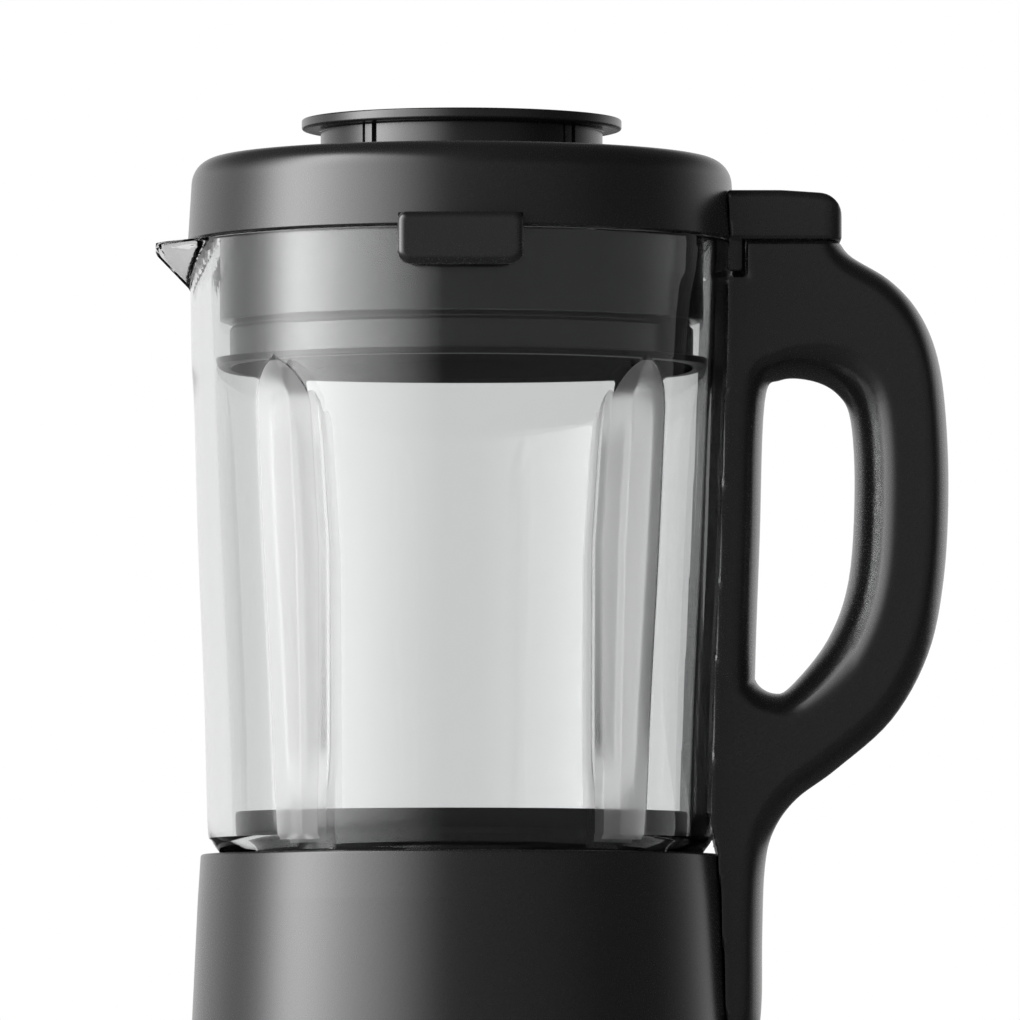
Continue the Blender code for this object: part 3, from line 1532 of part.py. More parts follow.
def glass_section(level, radius, inner):
    """One ring of the glass, round but for the spout and, outside, the four V-shaped flutes."""
    points = []
    reach = SPOUT_REACH - GLASS_OUTER[0][1]
    width = flute_width(level)
    widest = max(half for _, half in FLUTE_HALF_ANGLES)
    half = between(FLUTE_HALF_ANGLES, min(level, FLUTE_TOP_LEVEL))
    plain = inner or level > FLUTE_TOP_LEVEL
    share = 1 if plain else max(width, LEAST_FLUTE_SHARE)
    depth = FLUTE_DEPTH * width * half / widest
    for angle, on_line in ring_angles(level, share):
        spout = reach * spout_share(angle, level)
        if inner:
            r = radius + spout * SPOUT_INNER_SHARE
        else:
            r = radius + spout - depth * on_line
        points.append((r * math.cos(angle), r * math.sin(angle), level))
    return points


def jug_glass():
    """A loft through rings that differ: round at the foot, fluted up the wall, spouted at the rim."""
    rows = [glass_section(level, radius, False) for level, radius in GLASS_OUTER]
    rows += [glass_section(level, radius, True) for level, radius in GLASS_INNER]

    def fill(bm):
        rings = [[bm.verts.new(point) for point in row] for row in rows]
        for upper, lower in zip(rings, rings[1:] + rings[:1]):
            for i in range(len(upper)):
                j = (i + 1) % len(upper)
                bm.faces.new((upper[i], lower[i], lower[j], upper[j]))

    return mesh_object("jug_glass", fill)


def heating_pan():
    outer = GLASS_INNER[2][1] - RUNNING_CLEARANCE - GASKET_WALL - CLEARANCE
    seat = PAN_SEAT_LEVEL
    floor = PAN_FLOOR_LEVEL
    profile = [
        (outer - PAN_THICKNESS, PAN_RIM_LEVEL),
        (outer, PAN_RIM_LEVEL),
        (outer, seat),
        (COLLAR_SHELF_RADIUS - RUNNING_CLEARANCE, seat),
        (PAN_FLOOR_RADIUS + PAN_THICKNESS, floor - PAN_THICKNESS),
        (PAN_BORE_RADIUS, floor - PAN_THICKNESS),
        (PAN_BORE_RADIUS, floor),
        (PAN_FLOOR_RADIUS, floor),
        (COLLAR_SHELF_RADIUS - PAN_THICKNESS, seat + PAN_THICKNESS),
        (outer - PAN_THICKNESS, seat + PAN_THICKNESS),
    ]
    return turned("heating_pan", profile, MIDDLE_STEPS)


def pan_gasket():
    """An angle ring: its foot lies under the pan, its wall stands between the pan and the glass."""
    outer = GLASS_INNER[2][1] - RUNNING_CLEARANCE
    foot = GLASS_INNER[2][0] + CLEARANCE
    inner = GLASS_INNER[0][1]
    profile = [
        (outer - GASKET_WALL, GASKET_TOP_LEVEL),
        (outer, GASKET_TOP_LEVEL),
        (outer, foot),
        (inner, foot),
        (inner, PAN_SEAT_LEVEL - CLEARANCE),
        (outer - GASKET_WALL, PAN_SEAT_LEVEL - CLEARANCE),
    ]
    return turned("pan_gasket", profile, MIDDLE_STEPS)


def heating_element():
    """A tube bent round under the pan, with both tails turned down."""
    level = PAN_FLOOR_LEVEL - PAN_THICKNESS - CLEARANCE - ELEMENT_TUBE_RADIUS
    points = []
    for i in range(ELEMENT_POINTS):
        angle = ELEMENT_SWEEP * i / (ELEMENT_POINTS - 1) - ELEMENT_SWEEP / 2 + math.pi
        x = ELEMENT_RING_RADIUS * math.cos(angle)
        y = ELEMENT_RING_RADIUS * math.sin(angle)
        points.append((x, y, level))
    first, last = points[0], points[-1]
    points.insert(0, (first[0], first[1], level - ELEMENT_TAIL))
    points.append((last[0], last[1], level - ELEMENT_TAIL))
    return tube("heating_element", points, ELEMENT_TUBE_RADIUS, 1)


def thermostat():
    top = PAN_FLOOR_LEVEL - PAN_THICKNESS - CLEARANCE
    y = THERMOSTAT_CENTRE + THERMOSTAT_HEIGHT / 2
    return rod(
        "thermostat",
        THERMOSTAT_RADIUS,
        (0, y, top - THERMOSTAT_HEIGHT),
        (0, y, top),
        SMALL_STEPS,
    )


def blade_housing():
    """The bearing housing, which clamps the pan between its flange and the nut thread below."""
    low = HUB_BOTTOM_LEVEL
    flange = PAN_FLOOR_LEVEL + CLEARANCE
    profile = [
        (HUB_BORE_RADIUS, HUB_TOP_LEVEL),
        (HUB_RADIUS, HUB_TOP_LEVEL),
        (HUB_RADIUS, flange + HUB_FLANGE),
        (HUB_FLANGE_RADIUS, flange + HUB_FLANGE),
        (HUB_FLANGE_RADIUS, flange),
        (HUB_RADIUS, flange),
        (HUB_RADIUS, low),
        (HUB_BORE_RADIUS, low),
    ]
    return turned("blade_housing", profile, SMALL_STEPS)


def shaft_bush():
    inner = BLADE_SHAFT_RADIUS + CLEARANCE
    outer = HUB_BORE_RADIUS - CLEARANCE
    low = HUB_BOTTOM_LEVEL
    return ring("shaft_bush", outer, inner, low, BUSH_TOP_LEVEL, SMALL_STEPS)


def shaft_seal():
    inner = BLADE_SHAFT_RADIUS + CLEARANCE
    outer = HUB_BORE_RADIUS - CLEARANCE
    low = BUSH_TOP_LEVEL + CLEARANCE
    return ring("shaft_seal", outer, inner, low, HUB_TOP_LEVEL, SMALL_STEPS)


def lower_blade_level():
    return HUB_TOP_LEVEL + BLADE_GAP


def upper_blade_level():
    return lower_blade_level() + BLADE_THICKNESS + CLEARANCE


def blade_shaft():
    low = SOCKET_LEVEL + SOCKET_HEIGHT - SOCKET_CEILING + CLEARANCE
    step = lower_blade_level() - CLEARANCE
    top = upper_blade_level() + NUT_HEIGHT
    profile = [
        (0, top),
        (BLADE_STUD_RADIUS, top),
        (BLADE_STUD_RADIUS, step),
        (BLADE_SHAFT_RADIUS, step),
        (BLADE_SHAFT_RADIUS, low),
        (0, low),
    ]
    return turned("blade_shaft", profile, SMALL_STEPS)


def blade(name, level, lift, turn):
    """A hub disc with two tapered wings bent by `lift`, whose tips lie at the blade's reach."""
    plate = rod(
        name,
        BLADE_ROOT_WIDTH / 2,
        (0, 0, level),
        (0, 0, level + BLADE_THICKNESS),
        SMALL_STEPS,
    )

    def wing(bm):
        thickness = BLADE_THICKNESS
        stations = (
            (0, BLADE_ROOT_WIDTH, 0),
            (BLADE_ROOT_LENGTH, BLADE_ROOT_WIDTH, 0),
            (BLADE_REACH, BLADE_TIP_WIDTH, lift),
        )
        rings = []
        for reach, width, rise in stations:
            base = level + rise
            corners = (
                (reach, -width / 2, base),
                (reach, width / 2, base),
                (reach, width / 2, base + thickness),
                (reach, -width / 2, base + thickness),
            )
            rings.append([bm.verts.new(corner) for corner in corners])
        bm.faces.new(reversed(rings[0]))
        bm.faces.new(rings[-1])
        for first, second in zip(rings, rings[1:]):
            for i in range(4):
                j = (i + 1) % 4
                bm.faces.new((first[i], first[j], second[j], second[i]))

    for side in (0, 1):
        arm = mesh_object(f"{name}_wing_{side}", wing)
        arm.data.transform(Matrix.Rotation(math.pi * side + turn, 4, "Z"))
        join(plate, arm)
    hole = rod(
        name + "_hole",
        BLADE_STUD_RADIUS + CLEARANCE,
        (0, 0, level - OVERRUN),
        (0, 0, level + BLADE_THICKNESS + OVERRUN),
        SMALL_STEPS,
    )
    return cut(plate, hole)


def blade_nut():
    low = upper_blade_level() + BLADE_THICKNESS + CLEARANCE
    high = low + NUT_HEIGHT
    nut = rod("blade_nut", NUT_RADIUS, (0, 0, low), (0, 0, high), HEX_SIDES)
    bore = rod(
        "nut_bore",
        BLADE_STUD_RADIUS + CLEARANCE,
        (0, 0, low - OVERRUN),
        (0, 0, high - BLADE_THICKNESS + CLEARANCE),
        TINY_STEPS,
    )
    return cut(nut, bore)


def drive_socket():
    """The jug's half of the drive: a cup with a six-sided hollow that drops over the coupling."""
    top = SOCKET_LEVEL + SOCKET_HEIGHT
    cup = rod(
        "drive_socket",
        SOCKET_RADIUS,
        (0, 0, SOCKET_LEVEL),
        (0, 0, top),
        SMALL_STEPS,
    )
    hollow = rod(
        "socket_hollow",
        COUPLING_RADIUS + COUPLING_PLAY,
        (0, 0, SOCKET_LEVEL - OVERRUN),
        (0, 0, top - SOCKET_CEILING - COUPLING_PLAY),
        HEX_SIDES,
    )
    bore = rod(
        "socket_bore",
        BLADE_SHAFT_RADIUS + CLEARANCE,
        (0, 0, top - SOCKET_CEILING),
        (0, 0, top + OVERRUN),
        SMALL_STEPS,
    )
    return cut(cup, hollow, bore)


def glass_clearance_cutter():
    """The turned space that the glass and the collar take up, with the fit's gap."""
    gap = RUNNING_CLEARANCE
    profile = [(0, RIM_LEVEL + OVERRUN)]
    profile += [(GLASS_OUTER[0][1] + gap, RIM_LEVEL + OVERRUN)]
    for level, radius in GLASS_OUTER:
        if level > FLUTE_FOOT_LEVEL + FLUTE_FOOT_LENGTH:
            profile.append((radius + gap, level))
    profile += [(COLLAR_TOP_RADIUS + gap, COLLAR_TOP_LEVEL + gap)]
    profile += [(COLLAR_SHOULDER_RADIUS + gap, COLLAR_SHOULDER_LEVEL)]
    low = BASE_TOP_LEVEL - OVERRUN
    profile += [(COLLAR_BOTTOM_RADIUS + gap, BASE_TOP_LEVEL + CLEARANCE)]
    profile += [(COLLAR_BOTTOM_RADIUS + gap, low), (0, low)]
    return turned("glass_space", profile, LARGE_STEPS)


def smooth_line(points, steps, closed):
    """More points along a smooth line that runs through all the given ones."""
    count = len(points)
    spans = count if closed else count - 1
    line = []
    for i in range(spans):
        if closed:
            near = [Vector(points[(i + k) % count]) for k in (-1, 0, 1, 2)]
        else:
            near = [Vector(points[min(max(i + k, 0), count - 1)]) for k in (-1, 0, 1, 2)]
        before, start, end, after = near
        for k in range(steps):
            t = k / steps
            bend = (2 * before - 5 * start + 4 * end - after) * t**2
            twist = (3 * (start - end) + after - before) * t**3
            line.append((2 * start + (end - before) * t + bend + twist) / 2)
    if not closed:
        line.append(Vector(points[-1]))
    return line


def pushed(line, distance):
    """A closed line of (reach, level) points moved to its left, but for its top and inner sides."""
    moved = []
    count = len(line)
    for i in range(count):
        along = (line[(i + 1) % count] - line[i]).normalized()
        behind = (line[i] - line[i - 1]).normalized()
        aside = Vector((-along.y - behind.y, along.x + behind.x)).normalized()
        stretch = max(aside.dot(Vector((-along.y, along.x))), LEAST_CORNER_SHARE)
        point = line[i] + aside * distance / stretch
        if line[i].y > RIM_LEVEL - MERGE_DISTANCE:
            point.y = line[i].y
        if line[i].x < HANDLE_INNER_REACH + MERGE_DISTANCE:
            point.x = line[i].x
        moved.append(point)
    return moved


def rounded_slab(name, line, half_thickness, edge, depth, steps, outward):
    """A slab in the X-Z plane with oval edges, turned in, or flared out where it cuts a hole."""
    stations = []
    for i in range(steps + 1):
        angle = math.radians(90) * i / steps
        lift = half_thickness - depth * (1 - math.cos(angle))
        inset = edge * (1 - math.sin(angle))
        stations.append((lift, inset * outward))
    rows = [(-lift, push) for lift, push in stations]
    rows += [(lift, push) for lift, push in reversed(stations)]
    if outward > 0:
        rows.insert(0, (-half_thickness - OVERRUN, edge * outward))
        rows.append((half_thickness + OVERRUN, edge * outward))

    def fill(bm):
        rings = []
        for lift, push in rows:
            ring_points = pushed(line, push)
            rings.append([bm.verts.new((p.x, lift, p.y)) for p in ring_points])
        for first, second in zip(rings, rings[1:]):
            for i in range(len(first)):
                j = (i + 1) % len(first)
                bm.faces.new((first[i], first[j], second[j], second[i]))
        bm.faces.new(rings[0])
        bm.faces.new(rings[-1])
        bmesh.ops.recalc_face_normals(bm, faces=bm.faces)

    return mesh_object(name, fill)


def jug_handle():
    """The D-shaped handle and its leg down the jug, hollowed for the lid switch and its wires."""
    steps = HANDLE_CURVE_STEPS
    outline = smooth_line(HANDLE_OUTLINE, steps, False)
    outline.append(Vector((HANDLE_INNER_REACH, HANDLE_OUTLINE[-1][1])))
    outline.append(Vector((HANDLE_INNER_REACH, RIM_LEVEL)))
    handle = rounded_slab(
        "jug_handle",
        outline,
        HANDLE_HALF_THICKNESS,
        HANDLE_EDGE,
        HANDLE_EDGE_DEPTH,
        HANDLE_EDGE_STEPS,
        -1,
    )
    hole = rounded_slab(
        "handle_hole",
        smooth_line(HANDLE_HOLE, steps, True),
        HANDLE_HALF_THICKNESS,
        HANDLE_HOLE_EDGE,
        HANDLE_EDGE_DEPTH,
        HANDLE_EDGE_STEPS,
        1,
    )
    cut(handle, hole)
    cut(handle, glass_clearance_cutter())
    notch = box(
        "leg_notch",
        (
            HANDLE_INNER_REACH,
            -HANDLE_HALF_THICKNESS - OVERRUN,
            EAR_LEG_BOTTOM_LEVEL - RUNNING_CLEARANCE,
        ),
        (
            EAR_LEG_END + LEG_SLOT,
            HANDLE_HALF_THICKNESS + OVERRUN,
            RIM_LEVEL + OVERRUN,
        ),
    )
    channel = box(
        "wire_channel",
        (HANDLE_INNER_REACH, -CHANNEL_HALF_WIDTH, CHANNEL_BOTTOM_LEVEL),
        (GLASS_OUTER[0][1] + CHANNEL_DEPTH, CHANNEL_HALF_WIDTH, CHANNEL_TOP_LEVEL),
    )
    low = LID_SWITCH_TOP_LEVEL - LID_SWITCH_HEIGHT - CLEARANCE
    half_width = LID_SWITCH_WIDTH / 2 + CLEARANCE
    cavity = box(
        "switch_cavity",
        (HANDLE_INNER_REACH, -half_width, low),
        (
            LID_SWITCH_CENTRE + LID_SWITCH_LENGTH / 2 + CLEARANCE,
            half_width,
            LID_SWITCH_TOP_LEVEL + CLEARANCE,
        ),
    )
    hole_rod = rod(
        "plunger_bore",
        PLUNGER_RADIUS + RUNNING_CLEARANCE,
        (LID_SWITCH_CENTRE, 0, LID_SWITCH_TOP_LEVEL - OVERRUN),
        (LID_SWITCH_CENTRE, 0, RIM_LEVEL + OVERRUN),
        TINY_STEPS,
    )
    screw_hole = rod(
        "handle_screw_hole",
        SCREW_RADIUS + CLEARANCE,
        (HANDLE_INNER_REACH, 0, SCREW_LEVEL),
        (SCREW_REACH + CLEARANCE, 0, SCREW_LEVEL),
        TINY_STEPS,
    )
    return cut(handle, notch, channel, cavity, hole_rod, screw_hole)


def handle_strip():
    """The strip that closes the handle's wire channel, bent along the glass."""
    near = []
    far = []
    rows = [row for row in GLASS_OUTER if CHANNEL_BOTTOM_LEVEL < row[0] < CHANNEL_TOP_LEVEL]
    top = (CHANNEL_TOP_LEVEL - CLEARANCE, between(GLASS_OUTER, CHANNEL_TOP_LEVEL))
    low = (CHANNEL_BOTTOM_LEVEL + CLEARANCE, between(GLASS_OUTER, CHANNEL_BOTTOM_LEVEL))
    for level, radius in [top, *rows, low]:
        near.append((radius + RUNNING_CLEARANCE, level))
        far.append((radius + RUNNING_CLEARANCE + STRIP_THICKNESS, level))
    return outline_solid("handle_strip", near + far[::-1], STRIP_HALF_WIDTH)


def handle_screw():
    inner_wall = (
        (COLLAR_TOP_LEVEL, COLLAR_MOUTH_RADIUS),
        (BASE_TOP_LEVEL, COLLAR_BOTTOM_RADIUS - COLLAR_WALL),
    )
    seat = between(inner_wall, SCREW_LEVEL) - COLLAR_EDGE
    screw = rod(
        "handle_screw",
        SCREW_RADIUS,
        (seat - SCREW_HEAD / 2, 0, SCREW_LEVEL),
        (SCREW_REACH, 0, SCREW_LEVEL),
        TINY_STEPS,
    )
    head = rod(
        "screw_head",
        SCREW_HEAD_RADIUS,
        (seat - SCREW_HEAD, 0, SCREW_LEVEL),
        (seat, 0, SCREW_LEVEL),
        SMALL_STEPS,
    )
    return join(screw, head)


def lid_switch():
    low = LID_SWITCH_TOP_LEVEL - LID_SWITCH_HEIGHT
    body = box(
        "lid_switch",
        (LID_SWITCH_CENTRE - LID_SWITCH_LENGTH / 2, -LID_SWITCH_WIDTH / 2, low),
        (
            LID_SWITCH_CENTRE + LID_SWITCH_LENGTH / 2,
            LID_SWITCH_WIDTH / 2,
            LID_SWITCH_TOP_LEVEL,
        ),
    )
    hole = rod(
        "lid_switch_hole",
        PLUNGER_RADIUS + RUNNING_CLEARANCE,
        (LID_SWITCH_CENTRE, 0, LID_SWITCH_TOP_LEVEL - 3 * PLUNGER_TRAVEL),
        (LID_SWITCH_CENTRE, 0, LID_SWITCH_TOP_LEVEL + OVERRUN),
        TINY_STEPS,
    )
    return cut(body, hole)


def lid_switch_plunger():
    low = LID_SWITCH_TOP_LEVEL - PLUNGER_TRAVEL
    high = RIM_LEVEL
    x = LID_SWITCH_CENTRE
    return rod(
        "lid_switch_plunger", PLUNGER_RADIUS, (x, 0, low), (x, 0, high), TINY_STEPS
    )


def lid_bottom_level():
    return RIM_LEVEL + CLEARANCE


def lid_corner(radius, inset):
    """Points down the rounded shoulder of the lid, from its top face to its side."""
    centre_radius = LID_SHOULDER_RADIUS - LID_CORNER_RADIUS
    centre_level = LID_TOP_LEVEL - LID_CORNER_RADIUS
    points = []
    for i in range(LID_CORNER_STEPS + 1):
        angle = math.radians(90) * (1 - i / LID_CORNER_STEPS)
        points.append(
            (
                centre_radius + radius * math.cos(angle) - inset,
                centre_level + radius * math.sin(angle),
            )
        )
    return points


def lid_shell():
    """The lid's outer cover, with the feed opening in its top and a seat cut for the pull tab."""
    low = lid_bottom_level()
    outer = [(FEED_RADIUS + PLUG_TUBE_WALL + CLEARANCE, LID_TOP_LEVEL)]
    outer += lid_corner(LID_CORNER_RADIUS, 0)
    outer += [(LID_BOTTOM_RADIUS, low)]
    inner = [(LID_BOTTOM_RADIUS - LID_WALL, low)]
    inner += [
        (
            LID_SHOULDER_RADIUS - LID_WALL,
            LID_TOP_LEVEL - LID_CORNER_RADIUS,
        ),
        (
            LID_SHOULDER_RADIUS - LID_CORNER_RADIUS,
            LID_TOP_LEVEL - LID_WALL,
        ),
        (FEED_RADIUS + PLUG_TUBE_WALL + CLEARANCE, LID_TOP_LEVEL - LID_WALL),
    ]
    shell = turned("lid_shell", outer + inner, LARGE_STEPS)
    half = TAB_WIDTH / 2 + CLEARANCE
    notch = box(
        "tab_notch",
        (-half, -LID_BOTTOM_RADIUS - OVERRUN, low - OVERRUN),
        (half, -FEED_RADIUS - PLUG_TUBE_WALL - OVERRUN, TAB_TOP_LEVEL + CLEARANCE),
    )
    return cut(shell, notch)


def lid_plug():
    """The inner lid: a flange on the glass rim, a plug in the jug's mouth and the feed tube."""
    low = lid_bottom_level()
    flange_top = low + PLUG_WALL
    flange = LID_BOTTOM_RADIUS - LID_WALL - RUNNING_CLEARANCE
    bottom = PLUG_BOTTOM_LEVEL
    tube_outer = FEED_RADIUS + PLUG_TUBE_WALL
    groove = PLUG_GROOVE_LEVEL
    profile = [
        (PLUG_BAND_RADIUS - PLUG_WALL, flange_top),
        (flange, flange_top),
        (flange, low),
        (PLUG_BAND_RADIUS, low),
        (PLUG_BAND_RADIUS, groove),
        (PLUG_LOWER_RADIUS - PLUG_GROOVE_DEPTH, groove - PLUG_GROOVE_DEPTH),
        (PLUG_LOWER_RADIUS, groove - 2 * PLUG_GROOVE_DEPTH),
        (PLUG_LOWER_RADIUS, bottom),
        (FEED_RADIUS, bottom),
        (FEED_RADIUS, LID_TOP_LEVEL - CLEARANCE),
        (tube_outer, LID_TOP_LEVEL - CLEARANCE),
        (tube_outer, bottom + PLUG_FLOOR),
        (PLUG_LOWER_RADIUS - PLUG_WALL, bottom + PLUG_FLOOR),
        (PLUG_LOWER_RADIUS - PLUG_WALL, groove - PLUG_GROOVE_DEPTH),
        (PLUG_BAND_RADIUS - PLUG_WALL, groove + PLUG_WALL),
    ]
    return turned("lid_plug", profile, LARGE_STEPS)


def lid_gasket():
    inner = PLUG_LOWER_RADIUS + CLEARANCE
    low = PLUG_BOTTOM_LEVEL
    high = low + LID_GASKET_HEIGHT
    return ring("lid_gasket", LID_GASKET_RADIUS, inner, low, high, MIDDLE_STEPS)


def lid_ear():
    """The ear over the handle's top, with the leg that drops into the handle's notch."""
    low = lid_bottom_level()
    steps = LID_CORNER_STEPS
    outline = [(HANDLE_INNER_REACH, low), (HANDLE_INNER_REACH, EAR_TOP_LEVEL)]
    centre = (EAR_REACH - EAR_CORNER_RADIUS, EAR_OUTER_TOP_LEVEL - EAR_CORNER_RADIUS)
    for i in range(steps + 1):
        angle = math.radians(90) * (1 - i / steps)
        outline.append(
            (
                centre[0] + EAR_CORNER_RADIUS * math.cos(angle),
                centre[1] + EAR_CORNER_RADIUS * math.sin(angle),
            )
        )
    outline.append((EAR_REACH, low))
    ear = outline_solid("lid_ear", outline, HANDLE_HALF_THICKNESS)
    round_edges(ear, EAR_EDGE, 2, EAR_SHARP_ANGLE)
    profile = [
        (0, LID_TOP_LEVEL + OVERRUN),
        (LID_SHOULDER_RADIUS + CLEARANCE, LID_TOP_LEVEL + OVERRUN),
        (LID_SHOULDER_RADIUS + CLEARANCE, LID_TOP_LEVEL - LID_CORNER_RADIUS),
        (LID_BOTTOM_RADIUS + CLEARANCE, low),
        (LID_BOTTOM_RADIUS + CLEARANCE, low - OVERRUN),
        (0, low - OVERRUN),
    ]
    cut(ear, turned("shell_space", profile, LARGE_STEPS))
    leg = box(
        "ear_leg",
        (EAR_LEG_START, -HANDLE_HALF_THICKNESS + LEG_SLOT, EAR_LEG_BOTTOM_LEVEL),
        (EAR_LEG_END, HANDLE_HALF_THICKNESS - LEG_SLOT, low + OVERRUN),
    )
    return join(ear, leg)


def lid_pull_tab():
    """The tab on the front of the lid: a plate with rounded lower corners on a root in the notch."""
    corner = TAB_CORNER_RADIUS
    half = TAB_WIDTH / 2
    low = TAB_BOTTOM_LEVEL
    outline = [(half, TAB_TOP_LEVEL), (-half, TAB_TOP_LEVEL)]
    for side in (-1, 1):
        for i in range(LID_CORNER_STEPS):
            turn = math.radians(90) * i / (LID_CORNER_STEPS - 1)
            angle = turn if side < 0 else math.radians(90) - turn
            outline.append(
                (
                    side * (half - corner + corner * math.cos(angle)),
                    low + corner - corner * math.sin(angle),
                )
            )
    plate = outline_solid("lid_pull_tab", outline, TAB_THICKNESS / 2)
    plate.data.transform(Matrix.Translation((0, -TAB_BACK - TAB_THICKNESS / 2, 0)))
    round_edges(plate, TAB_EDGE, 1)
    root = box(
        "tab_root",
        (-half, -TAB_BACK - TAB_THICKNESS / 2, lid_bottom_level()),
        (half, -TAB_BACK + TAB_ROOT, TAB_TOP_LEVEL),
    )
    plug_space = turned(
        "flange_space",
        [
            (0, TAB_TOP_LEVEL + OVERRUN),
            (LID_BOTTOM_RADIUS - LID_WALL, TAB_TOP_LEVEL + OVERRUN),
            (LID_BOTTOM_RADIUS - LID_WALL, RIM_LEVEL - OVERRUN),
            (0, RIM_LEVEL - OVERRUN),
        ],
        LARGE_STEPS,
    )
    cut(root, plug_space)
    settle(root)
    return join(plate, root)


def feed_cap():
    """The feed cap: a disc on a neck, hollow from below like a measuring cup."""
    under = CAP_TOP_LEVEL - CAP_THICKNESS
    groove_low = CAP_STEP_LEVEL - CAP_GASKET_HEIGHT - 2 * CLEARANCE
    stem = CAP_STEM_RADIUS
    dome_reach, dome_rise = CAP_DOME_SHARES
    profile = [
        (0, CAP_TOP_LEVEL + CAP_DOME),
        (CAP_RADIUS * dome_reach, CAP_TOP_LEVEL + CAP_DOME * dome_rise),
        (CAP_RADIUS - CAP_EDGE, CAP_TOP_LEVEL),
        (CAP_RADIUS, CAP_TOP_LEVEL - CAP_EDGE),
        (CAP_RADIUS - CAP_EDGE, under),
        (CAP_NECK_RADIUS, under),
        (CAP_NECK_RADIUS, CAP_STEP_LEVEL),
        (stem - CAP_GASKET_GROOVE, CAP_STEP_LEVEL),
        (stem - CAP_GASKET_GROOVE, groove_low),
        (stem, groove_low),
        (stem, CAP_BOTTOM_LEVEL),
        (stem - CAP_WALL, CAP_BOTTOM_LEVEL),
        (stem - CAP_GASKET_GROOVE - CAP_WALL, groove_low - CAP_WALL),
        (stem - CAP_GASKET_GROOVE - CAP_WALL, under - CAP_WALL),
        (0, under - CAP_WALL),
    ]
    return turned("feed_cap", profile, MIDDLE_STEPS)


def cap_gasket():
    inner = CAP_STEM_RADIUS - CAP_GASKET_GROOVE + CLEARANCE
    outer = CAP_NECK_RADIUS
    high = CAP_STEP_LEVEL - CLEARANCE
    low = high - CAP_GASKET_HEIGHT
    return ring("cap_gasket", outer, inner, low, high, MIDDLE_STEPS)


def build():
    global parts, cutters, axis_empty
    clear_scene()
    parts = new_collection("soy_milk_maker")
    cutters = new_collection("cutters")
    axis_empty = bpy.data.objects.new("machine_axis", None)
    parts.objects.link(axis_empty)
    axis_empty.location = (AXIS_X, 0, 0)
    use = make_materials()

    # Base
    finish(base_housing(), use["black_plastic"])
    finish(control_panel(), use["black_plastic"])
    finish(selector_knob(), use["grey_plastic"], (0, knob_face(), KNOB_LEVEL))
    finish(start_button(), use["grey_plastic"], (0, button_face(), BUTTON_LEVEL))
    finish(bottom_cover(), use["matte_plastic"])
    for number in range(4):
        finish(rubber_foot(number), use["rubber"])
    finish(top_deck(), use["matte_plastic"])
    finish(rotary_encoder(), use["steel"])
    finish(control_board(), use["board"])
    finish(power_board(), use["board"])
    finish(mains_inlet(), use["matte_plastic"])
    finish(jug_socket(), use["grey_plastic"])
    finish(jug_switch(), use["matte_plastic"])
    switch_top = deck_floor_level()
    switch_place = (-JUG_SWITCH_CENTRE, 0, switch_top)
    finish(jug_switch_plunger(), use["grey_plastic"], switch_place)

    # Motor
    finish(stator_core(), use["laminated_steel"])
    finish(field_coil("field_coil_left", -1), use["copper"])
    finish(field_coil("field_coil_right", 1), use["copper"])
    finish(upper_bracket(), use["aluminium"])
    finish(lower_bracket(), use["aluminium"])
    finish(bearing("motor_bearing_upper", UPPER_BRACKET_LEVEL), use["steel"])
    finish(bearing("motor_bearing_lower", LOWER_BRACKET_LEVEL), use["steel"])
    finish(carbon_brush("brush_front", -1), use["carbon"])
    finish(carbon_brush("brush_rear", 1), use["carbon"])
    finish(motor_damper(), use["rubber"])
    finish(motor_shaft(), use["steel"])
    finish(armature_core(), use["laminated_steel"])
    finish(commutator(), use["copper"])
    finish(cooling_fan(), use["matte_plastic"])
    finish(drive_coupling(), use["matte_plastic"])

    # Jug
    finish(jug_glass(), use["glass"])
    finish(jug_collar(), use["black_plastic"])
    finish(collar_plate(), use["matte_plastic"])
    finish(heating_pan(), use["stainless"])
    finish(pan_gasket(), use["silicone"])
    finish(heating_element(), use["aluminium"])
    finish(thermostat(), use["steel"])
    finish(jug_plug(), use["grey_plastic"])
    finish(jug_handle(), use["black_plastic"])
    finish(handle_strip(), use["matte_plastic"])
    finish(handle_screw(), use["steel"])
    finish(lid_switch(), use["matte_plastic"])
    plunger_place = (LID_SWITCH_CENTRE, 0, RIM_LEVEL)
    finish(lid_switch_plunger(), use["grey_plastic"], plunger_place)
    finish(blade_housing(), use["stainless"])
    finish(shaft_bush(), use["bronze"])
    finish(shaft_seal(), use["silicone"])

    # Blade unit
    finish(blade_shaft(), use["stainless"])
    lower = blade("blade_lower", lower_blade_level(), -LOWER_BLADE_DROP, 0)
    upper = blade("blade_upper", upper_blade_level(), UPPER_BLADE_RISE, BLADE_TURN)
    finish(lower, use["stainless"])
    finish(upper, use["stainless"])
    finish(blade_nut(), use["stainless"])
    finish(drive_socket(), use["matte_plastic"])

    # Lid and cap
    finish(lid_shell(), use["black_plastic"])
    finish(lid_plug(), use["black_plastic"])
    finish(lid_gasket(), use["silicone"])
    finish(lid_ear(), use["black_plastic"])
    finish(lid_pull_tab(), use["black_plastic"])
    finish(feed_cap(), use["black_plastic"])
    finish(cap_gasket(), use["silicone"])


build()
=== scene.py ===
"""A countertop soy milk maker: a round motor base carries a lift-off glass jug with a D-shaped
handle, a plug lid and a feed cap. Sizes are in millimetres, measured from the machine's own axis
and from its counter."""

import json
import math

